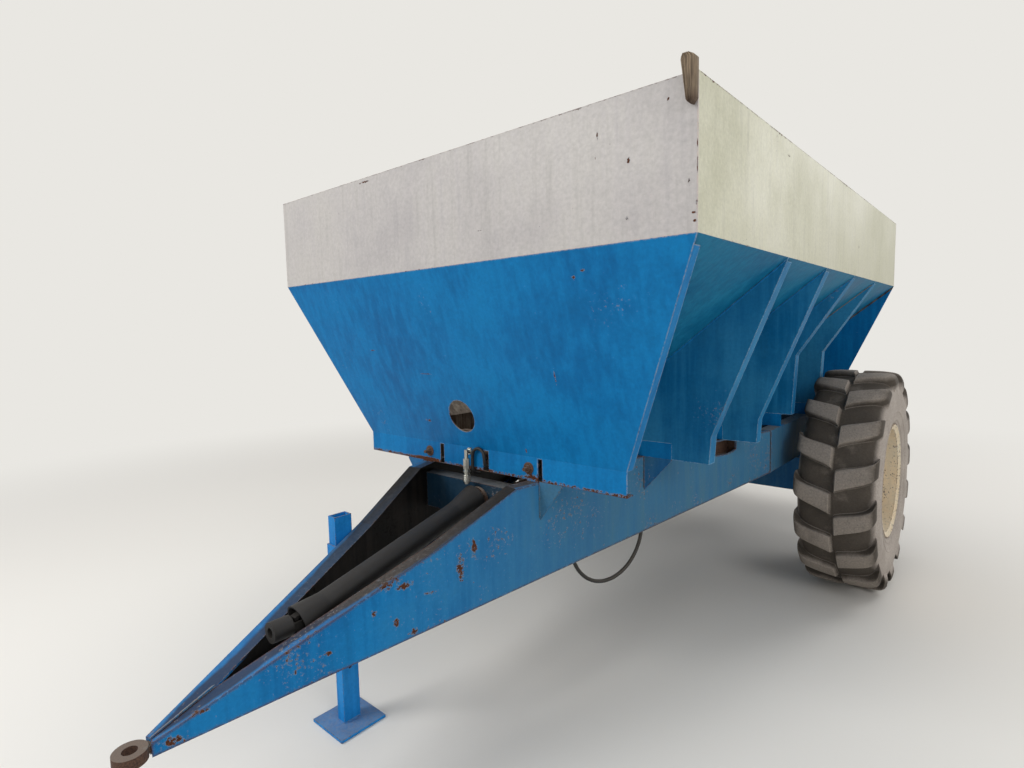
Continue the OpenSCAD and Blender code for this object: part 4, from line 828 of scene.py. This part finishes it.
# Ribs and bearers stand outside the walls and carry them on the frame. Their
# folded edges are rubbed pale, and a bead of weld runs up each side of a rib.
rib_enamel = enamel(
    "rib_enamel", "#0D689C", "#3583A8", chips=0.45, edge_wear=0.45, dust=0.5, blotch=0.6, worn_line="#B5CBD8")
finish_nodes(rib_enamel, "ribs_left", "ribs_right")
finish_nodes(wall_enamel, "bearers")
RIB_Y = [0.863, 1.476, 2.089, 2.702]
RIB_T = 0.006
# Place across the machine and height of a seam's foot and head
RIB_SEAM = [(0.318, 1.276), (1.142, 1.928)]
rib_welds = bmesh.new()
for side in (-1, 1):
    for number, y in enumerate(RIB_Y):
        for dy in (-0.001, RIB_T + 0.001):
            foot, head = [(side * x, FRONT_Y + y + dy, z) for x, z in RIB_SEAM]
            add_bead(rib_welds, foot, head, 0.0035, seed=20 + number)
new_piece("rib_welds", rib_welds, wall_enamel, "chassis")

# The upright boards are a later white coat, brushed on thin and cloudy over
# grey primer; rust creeps from the rim, the corners and a few deep chips.
BOARD_MARKS = [
    (0.9393, -1.466, 2.1861, 0.007, 0.01, 0.011), (0.9351, -1.466, 2.0139, 0.006, 0.01, 0.006),
    (1.1344, -1.466, 2.0884, 0.005, 0.01, 0.014), (1.07, -1.466, 2.33, 0.004, 0.01, 0.01),
    (1.15, -1.466, 2.002, 0.006, 0.01, 0.005), (1.153, -1.466, 1.98, 0.005, 0.01, 0.006),
    (1.156, -1.466, 2.03, 0.003, 0.01, 0.006), (1.159, -1.466, 2.13, 0.002, 0.002, 0.016),
    (1.159, -1.466, 2.19, 0.002, 0.002, 0.01), (0.83, -1.466, 2.285, 0.003, 0.01, 0.018),
    (0.822, -1.466, 2.22, 0.002, 0.01, 0.008), (0.876, -1.466, 2.25, 0.002, 0.01, 0.007),
    (-0.42, -1.466, 2.37, 0.05, 0.01, 0.005), (0.3, -1.466, 2.06, 0.012, 0.01, 0.002),
    (1.16, -0.62, 2.33, 0.01, 0.02, 0.004), (1.16, 0.7, 2.11, 0.01, 0.006, 0.014)]
BOARD_COAT = {"chips": 0.35, "edge_wear": 0.6, "dust": 0.5, "blotch": 0.8, "runs": 0.6, "gloss": 0.25,
              "marks": BOARD_MARKS, "bands": ((2.388, 0.009, 0.13),), "inner": ("#5F5246", LIME),
              "inner_by": LINING["inner_by"]}
front_board_enamel = enamel("front_board_enamel", "#C9C5C1", "#A39FA0", worn_line="#BCA593", **BOARD_COAT)
finish_nodes(front_board_enamel, "board_front", "board_rear")
side_board_enamel = enamel("side_board_enamel", "#CDCBB6", "#AFAE97", **BOARD_COAT)
finish_nodes(side_board_enamel, "board_left", "board_right")

# Conveyor: two drag chains with slats over a steel floor, polished by the load
# where it slides and rusty elsewhere. Its shafts turn in iron bearing blocks.
drag_steel = rusted_steel("drag_steel", "#77726B", "#5E4330", bare_share=0.6, dust=0.3)
finish_nodes(drag_steel, "conveyor", "conveyor_floor", "front_sprocket_shaft", "rear_sprocket_shaft")
CHAIN_X = 0.19
CHAIN_HALF_W = 0.015
LINK_PITCH = 0.05
LINK_PLATE = 0.003
CHAIN_R = 0.057
CHAIN_END = 0.064
chain_low, chain_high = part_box("conveyor")
chain_z = (chain_low.z + chain_high.z) / 2
chain_start, chain_end = chain_low.y + CHAIN_END, chain_high.y - CHAIN_END
links = bmesh.new()


def add_link(bm, x, middle, along, half_length=0.029, half_height=0.01):
    """One side plate of a chain link: an oblong with round ends, seen from the side."""
    over = Vector((0, -along.z, along.y))
    rings = []
    for dx in (0.0, LINK_PLATE):
        ring = []
        for a in turns(14):
            stretch = (half_length - half_height) * (1 if cos(a) > 0 else -1)
            spot = Vector((x + dx, middle.y, middle.z)) + along * (stretch + half_height * cos(a))
            ring.append(bm.verts.new(spot + over * half_height * sin(a)))
        rings.append(ring)
    join_rings(bm, rings)


steps = int((chain_end - chain_start) / LINK_PITCH)
for side in (-1, 1):
    for plate_x in (CHAIN_HALF_W, -CHAIN_HALF_W - LINK_PLATE):
        for i in range(steps + 1):
            y = chain_start + i * LINK_PITCH
            for up in (1, -1):
                add_link(links, side * CHAIN_X + plate_x, Vector((0, y, chain_z + up * CHAIN_R)), Vector((0, 1, 0)))
        for end_y, facing in ((chain_start, -1), (chain_start + steps * LINK_PITCH, 1)):
            for k in range(1, 3):
                a = radians(-90 + 60 * k)
                add_link(links, side * CHAIN_X + plate_x,
                         Vector((0, end_y + facing * CHAIN_R * cos(a), chain_z + CHAIN_R * sin(a))),
                         Vector((0, -facing * sin(a), cos(a))))
new_piece("chain_links", links, drag_steel)

# Stand: a box-section leg in a welded sleeve, in the frame's blue, brighter
# than the beams for it was brushed over last.
stand_enamel = enamel("stand_enamel", "#0E79C4", "#3491CC", chips=0.6, edge_wear=0.9, dust=0.55, blotch=0.5)
finish_nodes(stand_enamel, "stand_sleeve", "stand_leg")
leg_low, leg_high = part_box("stand_leg")
stand_welds = bmesh.new()
leg_x, leg_y = (leg_low.x + leg_high.x) / 2, (leg_low.y + leg_high.y) / 2
FOOT_SEAM = [(leg_x + dx * 0.026, leg_y + dy * 0.041, 0.0125) for dx, dy in ((-1, -1), (1, -1), (1, 1), (-1, 1))]
for k in range(4):
    add_bead(stand_welds, FOOT_SEAM[k], FOOT_SEAM[(k + 1) % 4], 0.0035, seed=31)
new_piece("stand_foot_weld", stand_welds, stand_enamel, "stand")

# Drive line: black polyethylene guards gone grey with dust and grease, over
# steel shafts; the gearboxes are cast iron in grey primer.
guard_plastic = dusty_polymer("guard_plastic", "#0A0909", "#2F2923", dust_most=0.7)
finish_nodes(guard_plastic, "shaft_guard", "rear_shaft")
gear_iron = rusted_steel("gear_iron", "#5C5B58", "#5A4636", bare_share=0.15, dust=0.6)
finish_nodes(gear_iron, "gearbox")
DISC_X, DISC_Y, CASE_TOP = 0.336, FRONT_Y + 3.83, 0.775
gear_bolts = bmesh.new()
CASE_BOLT_CIRCLE = 0.063
LID_BOLT_OFF = 0.068
for side in (-1, 1):
    for k in range(6):
        a = radians(30 + 60 * k)
        add_bolt(gear_bolts, (side * DISC_X + CASE_BOLT_CIRCLE * cos(a),
                              DISC_Y + CASE_BOLT_CIRCLE * sin(a), CASE_TOP), (0, 0, 1), 0.015)
    for y in (-LID_BOLT_OFF, LID_BOLT_OFF):
        add_bolt(gear_bolts, (side * LID_BOLT_OFF, DISC_Y + y, 0.78), (0, 0, 1), 0.017)
    for z in (0.668, 0.762):
        add_bolt(gear_bolts, (side * 0.066, DISC_Y - 0.085, z), (0, -1, 0), 0.017)
        add_bolt(gear_bolts, (side * 0.066, DISC_Y + 0.085, z), (0, 1, 0), 0.017)
add_turned(gear_bolts, (0, DISC_Y + 0.084, 0.72), (0, 1, 0),
           [(0.05, 0.0), (0.05, 0.005), (0.046, 0.008), (0.02, 0.01)], 32)
new_piece("gearbox_bolts", gear_bolts, gear_iron)

# Spreading discs and their vanes: steel scoured by lime and stones. Two bolts
# hold each vane, and a castle nut the disc on its spindle.
disc_steel = rusted_steel("disc_steel", "#7D776F", "#6D4A33", bare_share=0.75, dust=0.35)
finish_nodes(disc_steel, "spinner_left", "spinner_right")
VANE_FOOT_TOP = 0.825
VANE_BOLT_OFFSET = 0.0055
for side, word in SIDES:
    vane_bolts = bmesh.new()
    centre = Vector((side * DISC_X, DISC_Y, VANE_FOOT_TOP))
    for i in range(6):
        a = side * radians(i * 60 + 8)
        for reach in (0.11, 0.27):
            spot = Vector((cos(a) * reach + sin(a) * VANE_BOLT_OFFSET,
                           sin(a) * reach - cos(a) * VANE_BOLT_OFFSET, 0))
            add_bolt(vane_bolts, centre + spot, (0, 0, 1), 0.013)
    add_turned(vane_bolts, (side * DISC_X, DISC_Y, 0.86), (0, 0, 1),
               [(0.024, 0.0), (0.024, 0.014), (0.021, 0.017), (0.012, 0.018)], 6)
    new_piece("vane_bolts_" + word, vane_bolts, disc_steel, "disc_" + word)

# Gate ram: a painted barrel with a chromed rod, a gland nut and two port
# elbows; the coupler at the front wall is zinc-plated.


def plated_steel(name, tone, roughness):
    """Chrome or zinc plating, with fine scratches and a little dirt."""
    material, tree, shader, place = new_material(name)
    grime = ramp(mottle(place, 22, 6.0, 0.7), 0.55, 0.72)
    colour = mix(grime, tone, "#4A3F35")
    shine = calc("SUBTRACT", 1.0, grime)
    dull = ramp(grime, 0.0, 1.0, roughness, 0.8)
    scratched = bump(mottle(place, 2, 2.0), 0.15, 0.0004)
    feed(shader, {"Base Color": colour, "Metallic": shine, "Roughness": dull, "Normal": scratched})
    return material


finish_nodes(frame_enamel, "ram_barrel")
finish_nodes(plated_steel("chromed_rod", "#C9C9C6", 0.18), "ram_rod")
zinc_plate = plated_steel("zinc_plate", "#B5B5AE", 0.32)
finish_nodes(zinc_plate, "coupler")
barrel_low, barrel_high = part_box("ram_barrel")
RAM_BEHIND = 3.478
ram_y = FRONT_Y + RAM_BEHIND
fittings = bmesh.new()
add_turned(fittings, (0, ram_y, barrel_low.z - 0.0005), (0, 0, 1), [(0.0362, 0.0), (0.0362, 0.03), (0.035, 0.032)], 8)
for z in (barrel_low.z + 0.075, barrel_high.z - 0.125):
    add_turned(fittings, (0.03, ram_y, z), (1, 0, 0), [(0.013, 0.0), (0.013, 0.016), (0.011, 0.018)], 6)
    add_turned(fittings, (0.048, ram_y, z), (1, 0, 0), [(0.009, 0.0), (0.009, 0.016), (0.006, 0.02)], 16)
new_piece("ram_fittings", fittings, zinc_plate, "chassis", sharp=30)

coupler_low, coupler_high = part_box("coupler")
coupler_x = (coupler_low.x + coupler_high.x) / 2
coupler_y = coupler_low.y + 0.017
knurls = bmesh.new()
KNURL_PITCH = 0.006
for i in range(5):
    z = coupler_low.z + 0.012 + i * KNURL_PITCH
    add_turned(knurls, (coupler_x, coupler_y, z), (0, 0, 1),
               [(0.0168, 0.0), (0.0176, 0.0012), (0.0176, 0.0028), (0.0168, 0.004)])
add_turned(knurls, (coupler_x, coupler_y, coupler_low.z + 0.052), (0, 0, 1),
           [(0.0135, 0.0), (0.0165, 0.002), (0.0165, 0.008), (0.0135, 0.01)])
new_piece("coupler_collar", knurls, zinc_plate, "chassis", sharp=30)

# A sleeved steel pipe comes up between the beams beside the coupler and bends
# back through the middle slot. The chain's take-up bolts sit on round washers.


def add_tube(bm, path, radius, corners=12):
    """A round bar or pipe that follows a path."""
    rings = []
    side = Vector((0, 1, 0.2)).normalized()
    for i, spot in enumerate(path):
        run = (path[min(i + 1, len(path) - 1)] - path[max(i - 1, 0)]).normalized()
        side = (side - run * side.dot(run)).normalized()
        over = run.cross(side)
        rings.append([bm.verts.new(spot + (side * cos(a) + over * sin(a)) * radius)
                      for a in turns(corners)])
    join_rings(bm, rings)


STRIP_Y = FRONT_Y + 0.25
PIPE_BENDS = [(-0.007, 0.03, 1.026), (-0.007, 0.004, 1.034), (-0.007, -0.012, 1.052), (-0.007, -0.014, 1.11),
              (0.004, -0.014, 1.14), (0.033, -0.014, 1.153), (0.06, -0.014, 1.14), (0.068, -0.014, 1.112),
              (0.068, -0.01, 1.084), (0.067, 0.006, 1.072), (0.066, 0.03, 1.07)]
bent_pipe = bmesh.new()
add_tube(bent_pipe, smooth_row([(x, STRIP_Y + y, z) for x, y, z in PIPE_BENDS], 4), 0.0075)
new_piece("bent_pipe", bent_pipe, dusty_polymer("pipe_sleeve", "#0D0D0D", "#332D27"), "chassis")
washers = bmesh.new()
TAKE_UP_X, TAKE_UP_Z = 0.316, 1.1
for side in (-1, 1):
    add_turned(washers, (side * TAKE_UP_X, STRIP_Y + 0.0005, TAKE_UP_Z), (0, -1, 0),
               [(0.026, 0.0), (0.026, 0.004), (0.023, 0.0055)], 32)
new_piece("take_up_washers", washers, forged_steel)

# Guides of the gate: angles bolted to the rear wall.
guide_low, guide_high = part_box("gate_guides")
guide_bolts = bmesh.new()
END_MARGIN = 0.06
for side in (-1, 1):
    for k in range(6):
        z = guide_low.z + END_MARGIN + k * (guide_high.z - guide_low.z - 2 * END_MARGIN) / 5
        add_bolt(guide_bolts, (side * (guide_high.x - 0.018), guide_high.y, z), (0, 1, 0), 0.017)
new_piece("guide_bolts", guide_bolts, forged_steel)

# The wedge at the corner is a split of old softwood, grey and fluted along the
# grain, jammed over the board.


def weathered_wood(name):
    """Softwood left in the rain: silver grey, raised grain, darker in the furrows and rusty at the foot."""
    material, tree, shader, place = new_material(name)
    along = add_node(tree, "Mapping", {"Vector": place, "Scale": (1.0, 1.0, 0.06)})
    fibre = mottle(along, 5, 5.0, 0.6)
    clouds = mottle(place, 40, 4.0)
    colour = mix(ramp(fibre, 0.35, 0.65), "#3F332B", "#84725E")
    bleached = mix(0.35, colour, "#A8977C")
    colour = mix(clouds, colour, bleached)
    foot = ramp(part_of(place, "Z"), 2.335, 2.3, most=0.75)
    colour = mix(foot, colour, "#3A261D")
    shader.inputs["Roughness"].default_value = 0.88
    furrows = bump(fibre, 0.6, 0.002)
    feed(shader, {"Base Color": colour, "Normal": furrows})
    return material


wedge_low, wedge_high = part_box("corner_wedge")
# Columns: share of the height, left and right side as shares of the width
WEDGE_SIDES = [(0.0, 0.72, 0.8), (0.03, 0.6, 0.86), (0.09, 0.52, 0.98), (0.35, 0.42, 0.985), (0.7, 0.32, 0.99),
               (0.9, 0.27, 0.99), (0.96, 0.3, 0.86), (1.0, 0.36, 0.7)]
STRIPS = 24
wedge = bmesh.new()
wedge_rows = []
width, tall = (wedge_high - wedge_low).x, (wedge_high - wedge_low).z
for share, left, right_side in WEDGE_SIDES:
    row = []
    z = wedge_low.z + tall * share
    for k in range(STRIPS + 1):
        t = k / STRIPS
        x = wedge_low.x + width * (left + (right_side - left) * t)
        furrow = (0.004 * abs(sin(t * 17.0 + 1.3 * sin(share * 3.0)))
                  + 0.003 * abs(noise.noise(Vector((t * 9, share, 2)))))
        round_off = 0.007 * (abs(2 * t - 1) ** 6)
        row.append(wedge.verts.new((x, wedge_low.y + 0.0003 + furrow + round_off, z)))
    for k in range(STRIPS + 1):
        t = 1 - k / STRIPS
        x = wedge_low.x + width * (left + (right_side - left) * t)
        row.append(wedge.verts.new((x, wedge_high.y - 0.0002 - 0.004 * (abs(2 * t - 1) ** 6), z)))
    wedge_rows.append(row)
join_rings(wedge, wedge_rows)
split = new_piece("split_wedge", wedge, weathered_wood("weathered_softwood"), "chassis", sharp=60)
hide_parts("corner_wedge")
